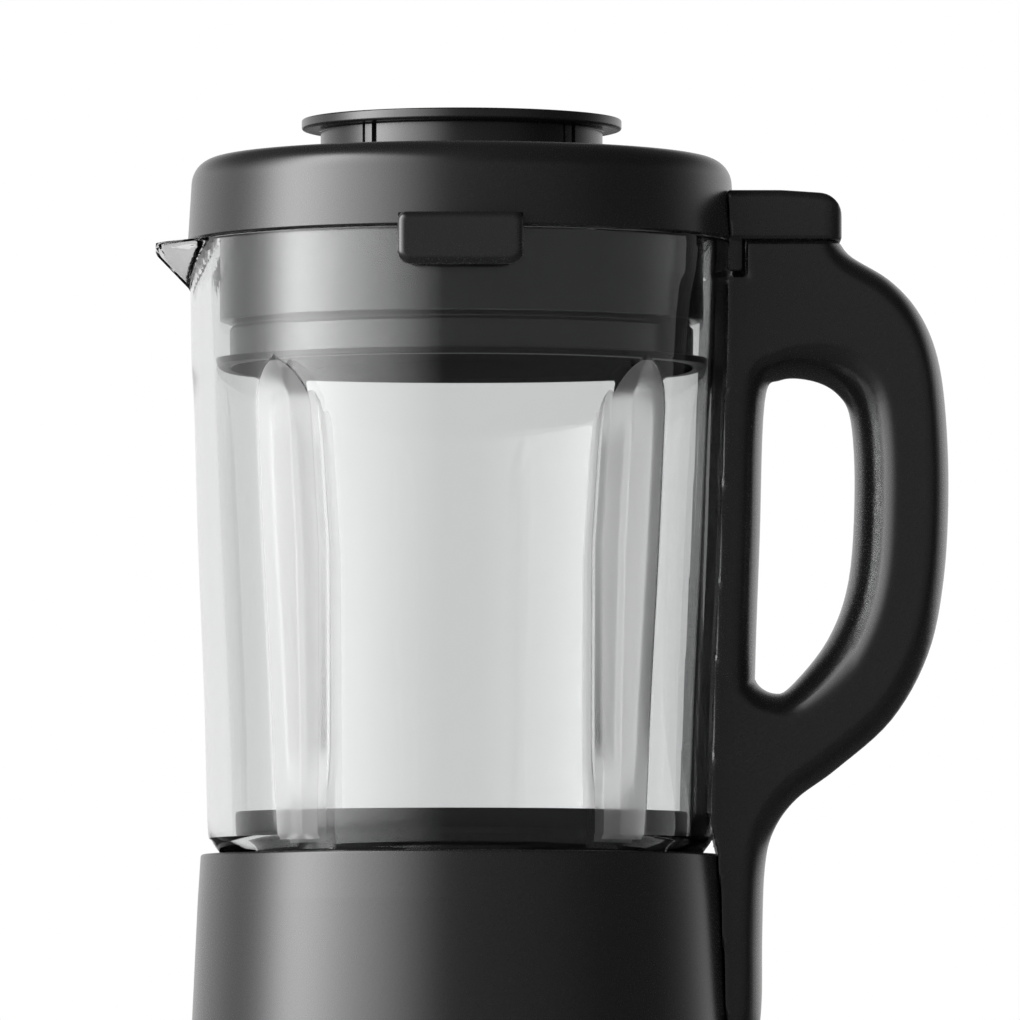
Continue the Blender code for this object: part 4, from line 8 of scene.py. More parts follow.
import bmesh
import bpy
import numpy as np
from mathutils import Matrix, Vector


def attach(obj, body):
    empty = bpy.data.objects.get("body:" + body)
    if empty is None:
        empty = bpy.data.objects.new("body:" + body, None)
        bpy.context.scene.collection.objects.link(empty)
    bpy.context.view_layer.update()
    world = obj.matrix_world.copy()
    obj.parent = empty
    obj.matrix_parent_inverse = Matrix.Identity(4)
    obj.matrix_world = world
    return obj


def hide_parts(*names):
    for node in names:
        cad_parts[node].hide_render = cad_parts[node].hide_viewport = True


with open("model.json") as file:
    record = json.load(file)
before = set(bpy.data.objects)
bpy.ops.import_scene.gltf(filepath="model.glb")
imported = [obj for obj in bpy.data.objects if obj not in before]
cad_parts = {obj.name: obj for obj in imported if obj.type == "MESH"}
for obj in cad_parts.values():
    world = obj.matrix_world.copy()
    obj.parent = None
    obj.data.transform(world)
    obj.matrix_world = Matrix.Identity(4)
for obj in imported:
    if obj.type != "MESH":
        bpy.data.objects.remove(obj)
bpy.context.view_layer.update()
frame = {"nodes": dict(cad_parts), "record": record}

# Base housing
# The tall round cover over the motor, injection moulded from black ABS with a fine satin skin.
# It flares a little towards the counter and is open at the front for the control panel.
MM = 0.001
# Where the machine's axis stands in the frame, in millimetres.
AXIS_X = -26.125
BASE_TOP_RADIUS = 81.8
BASE_BOTTOM_RADIUS = 94.0
BASE_SLOPE = 0.045
FLARE_LEVELS = (4.0, 152.0)
BASE_WALL = 3.0
PANEL_HALF_WIDTH = 30.0
PANEL_LEVELS = (28.0, 130.0)
FULL_TURN = 2 * math.pi
FINE_STEPS = 256
SHARP_ANGLE = math.radians(35)
SHEEN_DRIFT = 0.05
TINT_DRIFT = 35.0


def linear(code):
    """The linear colour of an sRGB hex code."""
    shares = [int(code[i : i + 2], 16) / 255 for i in (0, 2, 4)]
    return (*[s / 12.92 if s <= 0.04045 else ((s + 0.055) / 1.055) ** 2.4 for s in shares], 1.0)


def add(tree, kind, inputs=None, **settings):
    """Adds one node with its settings, and links or sets its inputs."""
    node = tree.nodes.new("ShaderNode" + kind)
    for name, value in settings.items():
        setattr(node, name, value)
    for name, value in (inputs or {}).items():
        if isinstance(value, bpy.types.NodeSocket):
            tree.links.new(value, node.inputs[name])
        else:
            node.inputs[name].default_value = value
    return node


def start_material(name, colour, roughness, **sockets):
    """A material whose shader has these plain values, to be given its pattern by the caller."""
    material = bpy.data.materials.new(name)
    material.use_nodes = True
    tree = material.node_tree
    shader = tree.nodes["Principled BSDF"]
    shader.inputs["Base Color"].default_value = linear(colour)
    shader.inputs["Roughness"].default_value = roughness
    for socket, value in sockets.items():
        shader.inputs[socket.replace("_", " ")].default_value = value
    place = add(tree, "TexCoord").outputs["Object"]
    return material, tree, shader, place


def moulded(name, colour, light_colour, roughness, grain_mm, depth_mm, **sockets):
    """Moulded plastic: fine grain in height and roughness, and a faint drift of colour. Each grain
    is drawn coarser than the real one, which would be too fine to show."""
    material, tree, shader, place = start_material(name, colour, roughness, **sockets)
    grain = add(tree, "TexNoise", {"Vector": place, "Scale": 1 / (grain_mm * MM), "Detail": 3.0})
    drift = add(tree, "TexNoise", {"Vector": place, "Scale": 1 / (TINT_DRIFT * MM), "Detail": 2.0})
    tint = add(
        tree,
        "Mix",
        {"Factor": drift.outputs["Fac"], "A": linear(colour), "B": linear(light_colour)},
        data_type="RGBA",
    )
    tree.links.new(tint.outputs["Result"], shader.inputs["Base Color"])
    least, most = roughness * (1 - SHEEN_DRIFT), roughness * (1 + SHEEN_DRIFT)
    sheen = add(
        tree, "MapRange", {"Value": grain.outputs["Fac"], "To Min": least, "To Max": most}
    )
    tree.links.new(sheen.outputs["Result"], shader.inputs["Roughness"])
    bump = add(
        tree, "Bump", {"Height": grain.outputs["Fac"], "Strength": 0.5, "Distance": depth_mm * MM}
    )
    tree.links.new(bump.outputs["Normal"], shader.inputs["Normal"])
    return material


def rounded(corners, turn_per_step=math.radians(9)):
    """A closed line of (x, y) points through corners given as (x, y, rounding radius)."""
    line = []
    count = len(corners)
    for i, (x, y, radius) in enumerate(corners):
        corner = Vector((x, y))
        before = Vector(corners[i - 1][:2]) - corner
        after = Vector(corners[(i + 1) % count][:2]) - corner
        if radius == 0:
            line.append(corner)
            continue
        half = before.angle(after) / 2
        reach = min(radius / math.tan(half), before.length / 2.05, after.length / 2.05)
        radius = reach * math.tan(half)
        middle = (before.normalized() + after.normalized()).normalized()
        centre = corner + middle * radius / math.sin(half)
        start = corner + before.normalized() * reach - centre
        end = corner + after.normalized() * reach - centre
        first = math.atan2(start.y, start.x)
        sweep = (math.atan2(end.y, end.x) - first + math.pi) % FULL_TURN - math.pi
        steps = max(2, math.ceil(abs(sweep) / turn_per_step))
        for k in range(steps + 1):
            angle = first + sweep * k / steps
            line.append(centre + Vector((math.cos(angle), math.sin(angle))) * radius)
    return line


def mesh_object(name, points, faces):
    """An object from points in millimetres about the machine's axis."""
    mesh = bpy.data.meshes.new(name)
    places = (np.asarray(points, float) + (AXIS_X, 0, 0)) * MM
    mesh.from_pydata(places.tolist(), [], faces)
    bm = bmesh.new()
    bm.from_mesh(mesh)
    bmesh.ops.remove_doubles(bm, verts=bm.verts, dist=0.0005 * MM)
    bmesh.ops.recalc_face_normals(bm, faces=bm.faces)
    bm.to_mesh(mesh)
    bm.free()
    obj = bpy.data.objects.new(name, mesh)
    bpy.context.scene.collection.objects.link(obj)
    return obj


def cut_away(obj, points, faces):
    """Cuts a closed shape out of an object's mesh."""
    cutter = mesh_object("cutter", points, faces)
    cut = obj.modifiers.new("cut", "BOOLEAN")
    cut.object = cutter
    graph = bpy.context.evaluated_depsgraph_get()
    finished = bpy.data.meshes.new_from_object(obj.evaluated_get(graph))
    obj.modifiers.clear()
    obj.data = finished
    bpy.data.objects.remove(cutter)


def add_piece(name, points, faces, material, body, slot, replaced, cutters=()):
    """A smooth piece on the body that carries it, in place of the nodes that it replaces."""
    obj = mesh_object(name, points, faces)
    for shape in cutters:
        cut_away(obj, *shape)
    obj.data.materials.clear()
    obj.data.materials.append(material)
    obj.data.shade_smooth()
    obj.data.set_sharp_from_angle(angle=SHARP_ANGLE)
    normals = obj.modifiers.new("even normals", "WEIGHTED_NORMAL")
    normals.keep_sharp = True
    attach(obj, body)
    if replaced:
        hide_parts(*replaced)
    return obj


def turned(outline, steps=FINE_STEPS, widen=None):
    """Points and faces of an outline of (radius, level) turned about the machine's axis."""
    points = []
    for i in range(steps):
        angle = FULL_TURN * i / steps
        for radius, level in outline:
            if widen:
                radius += widen(angle, level)
            points.append((radius * math.cos(angle), radius * math.sin(angle), level))
    count = len(outline)
    faces = []
    for i in range(steps):
        for j in range(count):
            k = (j + 1) % count
            near, far = i * count, (i + 1) % steps * count
            faces.append((near + j, far + j, far + k, near + k))
    return points, faces


def prism(line, low, high, axis=1):
    """Points and faces of a closed line drawn out along an axis between two places."""
    points = []
    for place in (low, high):
        for point in line:
            row = [point[0], point[1]]
            row.insert(axis, place)
            points.append(row)
    count = len(line)
    faces = [tuple(range(count)), tuple(range(2 * count - 1, count - 1, -1))]
    for i in range(count):
        j = (i + 1) % count
        faces.append((i, j, count + j, count + i))
    return points, faces


def oblong(half_width, low, high, radius):
    """A rectangle with rounded corners, centred on the axis."""
    corners = [(half_width, low), (half_width, high), (-half_width, high), (-half_width, low)]
    return rounded([(x, y, radius) for x, y in corners])


def base_radius(level):
    """The cover's outer radius: a slope with a flare that grows with the square of the drop."""
    drop = FLARE_LEVELS[1] - level
    height = FLARE_LEVELS[1] - FLARE_LEVELS[0]
    spread = BASE_BOTTOM_RADIUS - BASE_TOP_RADIUS - BASE_SLOPE * height
    return BASE_TOP_RADIUS + BASE_SLOPE * drop + spread * (drop / height) ** 2


# ABS from a finely spark-eroded mould: the grain can't be seen, and spreads the lamp's light to a
# soft band. It is drawn 0.35 mm wide, many times the real 0.05 mm, so that it shows at all.
satin_black = moulded(
    "satin moulded black ABS",
    "1a1a1a",
    "1c1c1c",
    0.27,
    0.35,
    0.0002,
    IOR=1.5,
    Specular_IOR_Level=1.0,
)

slope = [(base_radius(z), z) for z in np.linspace(6.5, 150.3, 24)]
inner_wall = [(r - BASE_WALL, z, 0) for r, z in slope[::-1]]
base_outline = rounded(
    [
        (base_radius(4.3) - BASE_WALL, 4.3, 0.3),
        (base_radius(4.3) - 1.4, 4.3, 0.6),
        (slope[0][0], slope[0][1], 0.8),
        *[(r, z, 0) for r, z in slope[1:-1]],
        (81.9, 151.0, 1.6),
        (80.4, 151.7, 0.5),
        (78.7, 151.7, 0.4),
        (78.7, 148.5, 0.2),
        *inner_wall[1:],
    ]
)
points, faces = turned(base_outline)
add_piece(
    "base_cover",
    points,
    faces,
    satin_black,
    "base",
    "black_gloss",
    ["base_housing"],
    cutters=[
        prism(oblong(PANEL_HALF_WIDTH, *PANEL_LEVELS, 6.3), -100.0, -60.0),
        prism(oblong(14.3, 24.7, 45.3, 2.3), 60.0, 100.0),
    ],
)

# Control panel
# A curved plate of the same ABS, snapped in the front of the base, with a sunk well for the knob
# and one for the button. Round the knob a scale is printed in white, a mark for each setting.
KNOB_LEVEL = 88.0
BUTTON_LEVEL = 46.0
PANEL_SINK = 0.3
PANEL_THICK = 2.7
WELL_WALL_SINK = 1.0
# Each well's level, the radii of its bore, its inside and its wall, and how far in front of the
# axis its floor and the back of its wall lie.
PANEL_WELLS = (
    (KNOB_LEVEL, 3.5, 21.5, 24.0, 79.4, 74.2),
    (BUTTON_LEVEL, 4.5, 9.0, 11.5, 83.6, 81.2),
)
# The step over which the slope of a shape is felt.
PROBE = 0.01
panel_line = oblong(29.7, 28.3, 129.7, 6.0)


def netted(shape, low, high, cell):
    """Points and faces of the surface where `shape` is zero, from a net over a grid of cells."""
    axes = [np.arange(a, b + cell, cell) for a, b in zip(low, high)]
    spread = [a.reshape([-1 if k == i else 1 for k in range(3)]) for i, a in enumerate(axes)]
    values = np.broadcast_to(shape(*spread), [len(a) for a in axes])
    cells = np.array(values.shape) - 1
    total = np.zeros((*cells, 3))
    count = np.zeros(cells)
    crossings = []
    for axis in range(3):
        start = [slice(None)] * 3
        end = [slice(None)] * 3
        start[axis], end[axis] = slice(0, -1), slice(1, None)
        a, b = values[tuple(start)], values[tuple(end)]
        crossed = np.argwhere((a < 0) != (b < 0))
        first, last = a[tuple(crossed.T)], b[tuple(crossed.T)]
        place = crossed.astype(float)
        place[:, axis] += first / (first - last)
        beside = [k for k in range(3) if k != axis]
        corners = []
        for step in ((1, 1), (0, 1), (0, 0), (1, 0)):
            cell_index = crossed.copy()
            cell_index[:, beside[0]] -= step[0]
            cell_index[:, beside[1]] -= step[1]
            np.add.at(total, tuple(cell_index.T), place)
            np.add.at(count, tuple(cell_index.T), 1)
            corners.append(cell_index)
        crossings.append(np.stack(corners, 1))
    used = np.argwhere(count > 0)
    number = np.full(cells, -1)
    number[tuple(used.T)] = np.arange(len(used))
    points = np.array(low) + cell * total[tuple(used.T)] / count[tuple(used.T)][:, None]
    faces = []
    for corners in crossings:
        faces += number[tuple(np.moveaxis(corners, -1, 0))].tolist()
    for _ in range(3):
        here = shape(*points.T)
        steps = np.eye(3) * PROBE
        slope = np.stack([(shape(*(points + step).T) - here) / PROBE for step in steps], 1)
        size = np.maximum((slope**2).sum(1), 0.25)
        move = -(here / size)[:, None] * slope
        points += np.clip(move, -cell / 2, cell / 2)
    return points, faces


def outline_distance(line, x, z):
    """Distance in the X-Z plane to a closed line, less than zero inside it."""
    x, z = np.broadcast_arrays(x, z)
    nearest = np.full(x.shape, np.inf)
    inside = np.zeros(x.shape, bool)
    for start, end in zip(line, line[1:] + line[:1]):
        along = end - start
        share = ((x - start.x) * along.x + (z - start.y) * along.y) / along.length_squared
        share = np.clip(share, 0, 1)
        gap = (x - start.x - share * along.x) ** 2 + (z - start.y - share * along.y) ** 2
        nearest = np.minimum(nearest, gap)
        if along.y != 0:
            reach = start.x + (z - start.y) * along.x / along.y
            inside ^= ((start.y > z) != (end.y > z)) & (x < reach)
    return np.sqrt(nearest) * np.where(inside, -1, 1)


def soft_edge(distance, y, half, radius):
    """Distance to a slab's surface whose edge is rounded by this radius."""
    across = distance + radius
    through = np.abs(y) - half + radius
    corner = np.hypot(np.maximum(across, 0), np.maximum(through, 0))
    return np.minimum(np.maximum(across, through), 0) + corner - radius


def panel_shape(x, y, z):
    front = np.hypot(x, y) - base_radius(z) + PANEL_SINK
    half = PANEL_THICK / 2
    body = soft_edge(outline_distance(panel_line, x, z), front + half, half, 0.5)
    cut = -np.inf
    for level, bore, inside, wall, floor, back in PANEL_WELLS:
        aside = np.hypot(x, z - level)
        round_well = np.maximum(np.maximum(aside - wall, y + back), front + WELL_WALL_SINK)
        body = np.minimum(body, round_well)
        well = np.minimum(inside - aside, -floor - y)
        cut = np.maximum(cut, np.maximum(well, bore - aside))
    return np.maximum(body, cut)


points, faces = netted(panel_shape, (-30.5, -92.0, 27.5), (30.5, -73.5, 130.5), 0.5)
add_piece("panel_plate", points, faces, satin_black, "base", "black_gloss", ["control_panel"])

# Pad printing ink lies on the ABS as a thin flat skin, white and matt beside it.
PRINT_SKIN = (0.06, -0.3)
SCALE_MARKS = 11
SCALE_STEP = 27
# Where the marks start round the knob, and where the long and the short ones end and their half
# widths.
MARK_START = 23.6
LONG_MARK = (26.6, 0.45)
SHORT_MARK = (25.4, 0.3)
white_print = moulded("white pad print", "dcdcda", "e2e2e0", 0.5, 0.3, 0.001)
points, faces = [], []
for i in range(SCALE_MARKS):
    turn = math.radians(SCALE_STEP * (i - SCALE_MARKS // 2))
    end, half = LONG_MARK if i % 5 == 0 else SHORT_MARK
    for reach in (MARK_START, end):
        for side in (-half, half):
            x = reach * math.sin(turn) + side * math.cos(turn)
            z = KNOB_LEVEL + reach * math.cos(turn) - side * math.sin(turn)
            skin = base_radius(z) - PANEL_SINK
            for proud in PRINT_SKIN:
                points.append((x, -math.sqrt((skin + proud) ** 2 - x * x), z))
    k = 8 * i
    faces += [(k, k + 4, k + 6, k + 2), (k + 1, k + 3, k + 7, k + 5), (k, k + 1, k + 5, k + 4)]
    faces += [(k + 2, k + 6, k + 7, k + 3), (k, k + 2, k + 3, k + 1), (k + 4, k + 5, k + 7, k + 6)]
add_piece("panel_scale", points, faces, white_print, "base", "black_gloss", [])

# Selector knob
# A grey POM knob with a ribbed grip on a flat skirt, pressed on the encoder's shaft.
# A white mark is let into its face.
KNOB_RIBS = 36
KNOB_RIB_DEPTH = 0.44
KNOB_GRIP = (83.9, 91.8)
# POM is waxy, so it takes the light broadly and dully, and its edges look soft.
grey = moulded("moulded grey POM", "6f7072", "77787a", 0.42, 0.4, 0.002)
knob_outline = rounded(
    [
        (0, 93.4, 0),
        (14.5, 93.5, 2.0),
        (16.6, 93.92, 0.5),
        (18.6, 92.2, 1.2),
        (18.6, 84.0, 0),
        (18.6, 82.92, 0.2),
        (21.0, 82.92, 0.6),
        (21.0, 79.92, 0.4),
        (3.0, 79.92, 0.2),
        (3.0, 74.92, 0.2),
        (0, 74.92, 0),
    ]
)


def knob_rib(angle, level):
    """How far the grip is cut in between its ribs."""
    if not KNOB_GRIP[0] < level < KNOB_GRIP[1]:
        return 0
    return -KNOB_RIB_DEPTH * (1 - math.cos(KNOB_RIBS * angle)) / 2


def faced(outline, centre_level, widen=None, steps=288):
    """An outline of (radius, distance in front of the axis), turned about a line to the front."""
    points, faces = turned(outline, steps, widen)
    return [(x, -z, centre_level + y) for x, y, z in points], faces


points, faces = faced(knob_outline, KNOB_LEVEL, knob_rib)
add_piece("knob_grip", points, faces, grey, "knob", "grey_plastic", ["selector_knob"])
mark = [(-0.6, 97.5), (0.6, 97.5), (0.6, 103.5), (-0.6, 103.5)]
add_piece("knob_mark", *prism(mark, -93.7, -93.2), white_print, "knob", "grey_plastic", [])

# Start button
# A round push button moulded in the same grey POM, with a shallow dish for the fingertip. Its stem
# slides in the panel's bore and presses a switch on the control board.
button_outline = rounded(
    [
        (0, 89.2, 0),
        (4.0, 89.35, 3.0),
        (7.4, 90.01, 0.6),
        (8.5, 89.4, 0.7),
        (8.5, 86.01, 0.3),
        (4.0, 86.01, 0.2),
        (4.0, 76.32, 0.3),
        (0, 76.32, 0),
    ]
)
points, faces = faced(button_outline, BUTTON_LEVEL, steps=96)
add_piece("button_cap", points, faces, grey, "button", "grey_plastic", ["start_button"])

# Rubber feet
# Four soft rubber pads pressed in the bottom cover. They carry the machine and keep it from
# sliding on the counter.
FOOT_PLACE = 52.33
# Filled rubber from a plain steel mould is nearly black and quite dull, with a slight tooth.
rubber = moulded("moulded black rubber", "1a1a1a", "222222", 0.75, 0.6, 0.006)
foot_outline = rounded([(0, 0, 0), (8.2, 0, 0.8), (9.0, 4.0, 0.3), (0, 4.0, 0)])
for number, (sx, sy) in enumerate([(1, 1), (-1, 1), (-1, -1), (1, -1)], 1):
    points, faces = turned(foot_outline, 64)
    points = [(x + sx * FOOT_PLACE, y + sy * FOOT_PLACE, z) for x, y, z in points]
    replaced = [f"rubber_foot_{number}"]
    add_piece(f"foot_pad_{number}", points, faces, rubber, "base", "rubber", replaced)

# Top deck
# The moulded floor under the jug, pressed in the cover's top: a raised rim round a well, with one
# opening for the socket and one for the pin that feels the jug.
SOCKET_EDGES = (32.7, 57.3, 11.3)
PIN_X = -46.0
PIN_HOLE = 2.7
# Glass fibres at the skin of the nylon make it greyer and duller than the outer ABS.
matte_black = moulded("moulded glass-filled nylon", "222223", "28282a", 0.55, 0.5, 0.004)
deck_outline = rounded(
    [
        (13.0, 138.7, 0.3),
        (13.0, 141.7, 0.6),
        (58.0, 141.7, 2.0),
        (58.0, 151.7, 1.0),
        (78.3, 151.7, 0.8),
        (78.3, 142.7, 0.3),
        (75.3, 142.7, 0.3),
        (75.3, 148.7, 0.5),
        (61.0, 148.7, 0.5),
        (61.0, 138.7, 0.5),
    ]
)
points, faces = turned(deck_outline)
near, far, half = SOCKET_EDGES
socket_line = [(near, -half), (far, -half), (far, half), (near, half)]
turns = np.linspace(0, FULL_TURN, 33)[:-1]
pin_line = [(PIN_HOLE * math.cos(a) + PIN_X, PIN_HOLE * math.sin(a)) for a in turns]
add_piece(
    "deck_plate",
    points,
    faces,
    matte_black,
    "base",
    "matte_plastic",
    ["top_deck"],
    cutters=[prism(line, 130.0, 148.0, 2) for line in (socket_line, pin_line)],
)

# Jug collar
# The ring that holds the foot of the glass and hides the pan's underside, moulded in the same ABS.
# The handle's leg is screwed to its side, and the glass stands on its inner shelf.
collar_outline = rounded(
    [
        (75.0, 214.0, 0.4),
        (78.2, 214.0, 0.9),
        (79.1, 200.0, 3.0),
        (81.3, 152.3, 0.6),
        (78.3, 152.3, 0.3),
        (75.0, 204.7, 1.0),
        (60.5, 204.7, 0.3),
        (60.5, 207.7, 0.3),
        (75.0, 207.7, 0.3),
    ]
)
points, faces = turned(collar_outline)
add_piece("jug_collar_ring", points, faces, satin_black, "jug", "black_gloss", ["jug_collar"])

# Heating pan
# The jug's floor, spun from stainless steel sheet. The element is brazed beneath it, and a silicone
# ring over its rim seals it in the glass.
# The spinning tool leaves fine rings that draw the light out across them. They are drawn 0.6 mm
# apart, coarser than the real ones.
spun_steel, tree, shader, place = start_material(
    "spun stainless steel", "b9bbbc", 0.26, Metallic=1.0
)
flat = add(tree, "VectorMath", {0: place, 1: (1.0, 1.0, 0.0)}, operation="MULTIPLY")
around = add(tree, "VectorMath", {0: flat.outputs["Vector"]}, operation="LENGTH")
rings = add(
    tree,
    "TexNoise",
    {"W": around.outputs["Value"], "Scale": 1 / (0.6 * MM)},
    noise_dimensions="1D",
)
bump = add(tree, "Bump", {"Height": rings.outputs["Fac"], "Strength": 0.4, "Distance": 0.01 * MM})
tree.links.new(bump.outputs["Normal"], shader.inputs["Normal"])
pan_outline = rounded(
    [
        (64.4, 225.6, 0.3),
        (65.9, 225.6, 0.5),
        (65.9, 214.2, 2.0),
        (60.0, 214.2, 2.0),
        (57.5, 197.1, 3.0),
        (14.0, 197.1, 0.3),
        (14.0, 198.6, 0.3),
        (56.0, 198.6, 4.0),
        (58.9, 215.7, 1.5),
        (64.4, 215.7, 1.5),
    ]
)
points, faces = turned(pan_outline)
add_piece("pan_bowl", points, faces, spun_steel, "jug", "stainless", ["heating_pan"])

# Silicone is soft to look at: dull and deep black, with hardly any shine.
silicone = moulded(
    "moulded black silicone",
    "151515",
    "191919",
    0.45,
    0.5,
    0.003,
    IOR=1.43,
    Specular_IOR_Level=0.12,
)
seal_outline = rounded(
    [
        (64.2, 226.6, 0.4),
        (67.8, 226.6, 0.7),
        (67.8, 212.3, 0.4),
        (66.3, 212.3, 0.3),
        (66.3, 225.9, 0.1),
        (64.2, 225.9, 0.2),
    ]
)
points, faces = turned(seal_outline)
add_piece("pan_seal", points, faces, silicone, "jug", "silicone", ["pan_gasket"])

# Jug glass
# Pressed borosilicate, 5 to 6 mm thick, with four pointed flutes and a drawn spout. Its foot stands
# in the collar on a bed of black silicone, which shows through the wall above it.
# Both lines of the wall are (level, radius).
GLASS_OUTER = (
    (397.4, 81.4),
    (389.0, 81.45),
    (379.5, 81.45),
    (362.5, 81.2),
    (348.0, 80.4),
    (305.0, 79.1),
    (260.0, 77.25),
    (223.0, 76.2),
    (218.0, 74.9),
    (213.5, 71.8),
    (209.4, 68.4),
    (208.0, 65.0),
)
GLASS_INNER = (
    (208.0, 60.5),
    (212.0, 60.5),
    (212.0, 66.3),
    (213.5, 68.3),
    (260.0, 69.9),
    (320.0, 72.7),
    (379.5, 75.0),
    (389.0, 75.1),
    (397.4, 75.2),
)
GLASS_TOP = 397.4
BED_LEVEL = 214.1
# The columns of points in each quarter, and those that follow a flute's edges and its middle.
QUARTER_STEPS = 180
FLUTE_COLUMNS = (66, 98, 130)
CLEAR_LIP = 2
CLEAR, FROSTED, BEDDED, DRAWN = range(4)
DRAWN_SHARE = 0.02
SPOUT_PROUD = 10.6
SPOUT_HALF_ANGLE = math.radians(22)
SPOUT_SIDE = 1.27
SPOUT_BOTTOM = 383.5
SPOUT_TIP = 394.4
SPOUT_CREASE = 0.07
SPOUT_THINNING = 4.4
SPOUT_THINNED = 0.3
# A flute's level, its angle from the front and its half width, in degrees.
FLUTE_ANGLES = ((359.5, 43.0, 7.6), (348.0, 41.25, 7.9), (304.0, 39.9, 8.2), (219.0, 39.7, 6.3))
FLUTE_FULL_HALF = 9.2
FLUTE_APEX = 359.5
FLUTE_APEX_LENGTH = 15.0
FLUTE_ARCH = 0.62
FLUTE_FOOT = 217.6
FLUTE_FOOT_LENGTH = 1.2
FLUTE_DEPTH = 3.9
FLUTE_CREASE = 0.06
FLUTE_BOTTOM = 0.05
INNER_FLUTE_LEVELS = (231.0, 245.0, 334.0, 350.0)
LEAST_FLUTE_WIDTH = 0.04


def smooth_line(points, steps, closed):
    """More points along a smooth line that runs through all the given ones."""
    count = len(points)
    line = []
    for i in range(count if closed else count - 1):
        if closed:
            near = [Vector(points[(i + k) % count]) for k in (-1, 0, 1, 2)]
        else:
            near = [Vector(points[min(max(i + k, 0), count - 1)]) for k in (-1, 0, 1, 2)]
        before, start, end, after = near
        for k in range(steps):
            t = k / steps
            bend = (2 * before - 5 * start + 4 * end - after) * t**2
            twist = (3 * (start - end) + after - before) * t**3
            line.append((2 * start + (end - before) * t + bend + twist) / 2)
    if not closed:
        line.append(Vector(points[-1]))
    return line


def soft_above(value, blend):
    """The value where it is above zero, and zero below, with a rounded corner between."""
    if value < -blend:
        return 0.0
    if value < blend:
        return (value + blend) ** 2 / (4 * blend)
    return value


def spout_share(angle, level):
    """How far the spout is drawn out here, from 0 on the plain wall to 1 at its tip."""
    aside = abs(abs(angle) - math.pi) / SPOUT_HALF_ANGLE
    rise = (level - SPOUT_BOTTOM) / (SPOUT_TIP - SPOUT_BOTTOM)
    share = soft_above(rise - SPOUT_SIDE * aside, SPOUT_CREASE)
    return 1 - soft_above(1 - share, SPOUT_CREASE)


def flute_at(level):
    """A flute's angle from the front, its half width, and the share of it that the arch leaves."""
    rows = FLUTE_ANGLES[::-1]
    levels = [row[0] for row in rows]
    middle = np.interp(level, levels, [row[1] for row in rows])
    half = np.interp(level, levels, [row[2] for row in rows])
    arch = min(max((FLUTE_APEX - level) / FLUTE_APEX_LENGTH, 0), 1)
    return middle, half, (1 - (1 - arch) ** 2) ** FLUTE_ARCH


def flute_depth(aside, level):
    """How deep a flute is at this share of its half width, in millimetres."""
    if level >= FLUTE_APEX or level <= FLUTE_FOOT:
        return 0
    _, half, width = flute_at(level)
    slope = soft_above(1 - math.hypot(aside, FLUTE_BOTTOM), FLUTE_CREASE)
    foot = min((level - FLUTE_FOOT) / FLUTE_FOOT_LENGTH, 1)
    return FLUTE_DEPTH * slope * half / FLUTE_FULL_HALF * width * foot


def glass_row(level, radius, inner):
    """A ring whose columns of points follow the edges of the flutes."""
    middle, half, width = flute_at(level)
    half *= max(width, LEAST_FLUTE_WIDTH)
    stops = [0, 90 - middle - half, 90 - middle, 90 - middle + half, 90]
    row = []
    for i in range(4 * QUARTER_STEPS):
        quarter, column = divmod(i, QUARTER_STEPS)
        if quarter % 2:
            column = QUARTER_STEPS - column
        turn = np.interp(column, [0, *FLUTE_COLUMNS, QUARTER_STEPS], stops)
        turn = turn if quarter % 2 == 0 else 180 - turn
        angle = math.radians(turn + 180 * (quarter // 2)) - math.pi
        aside = abs(turn - 90 + middle if turn < 90 else 90 + middle - turn) / half
        drawn = spout_share(angle, level)
        reach = radius + SPOUT_PROUD * drawn
        depth = flute_depth(aside, level)
        if inner:
            thinned = min(drawn / SPOUT_THINNED, 1)
            reach += SPOUT_THINNING * thinned * (2 - thinned)
            depth *= np.interp(level, INNER_FLUTE_LEVELS, (0, 1, 1, 0))
        reach -= depth
        row.append((reach * math.cos(angle), reach * math.sin(angle), level))
    return row


outer_line = smooth_line([Vector((r, z)) for z, r in GLASS_OUTER], 12, False)
inner_line = smooth_line([Vector((r, z)) for z, r in GLASS_INNER[3:]], 12, False)
foot_line = rounded([(64.5, 208.0, 0), (60.5, 208.0, 0.8), (60.5, 212.0, 0.8), (66.3, 212.0, 0)])
foot_line = [(p.x, p.y) for p in foot_line[1:-1]] + [(66.0, 212.0), (67.4, 212.3), (68.1, 213.0)]
outer_levels = [p.y for p in outer_line][::-1]
outer_radii = [p.x for p in outer_line][::-1]
inner_levels = [p.y for p in inner_line]
inner_radii = [p.x for p in inner_line]
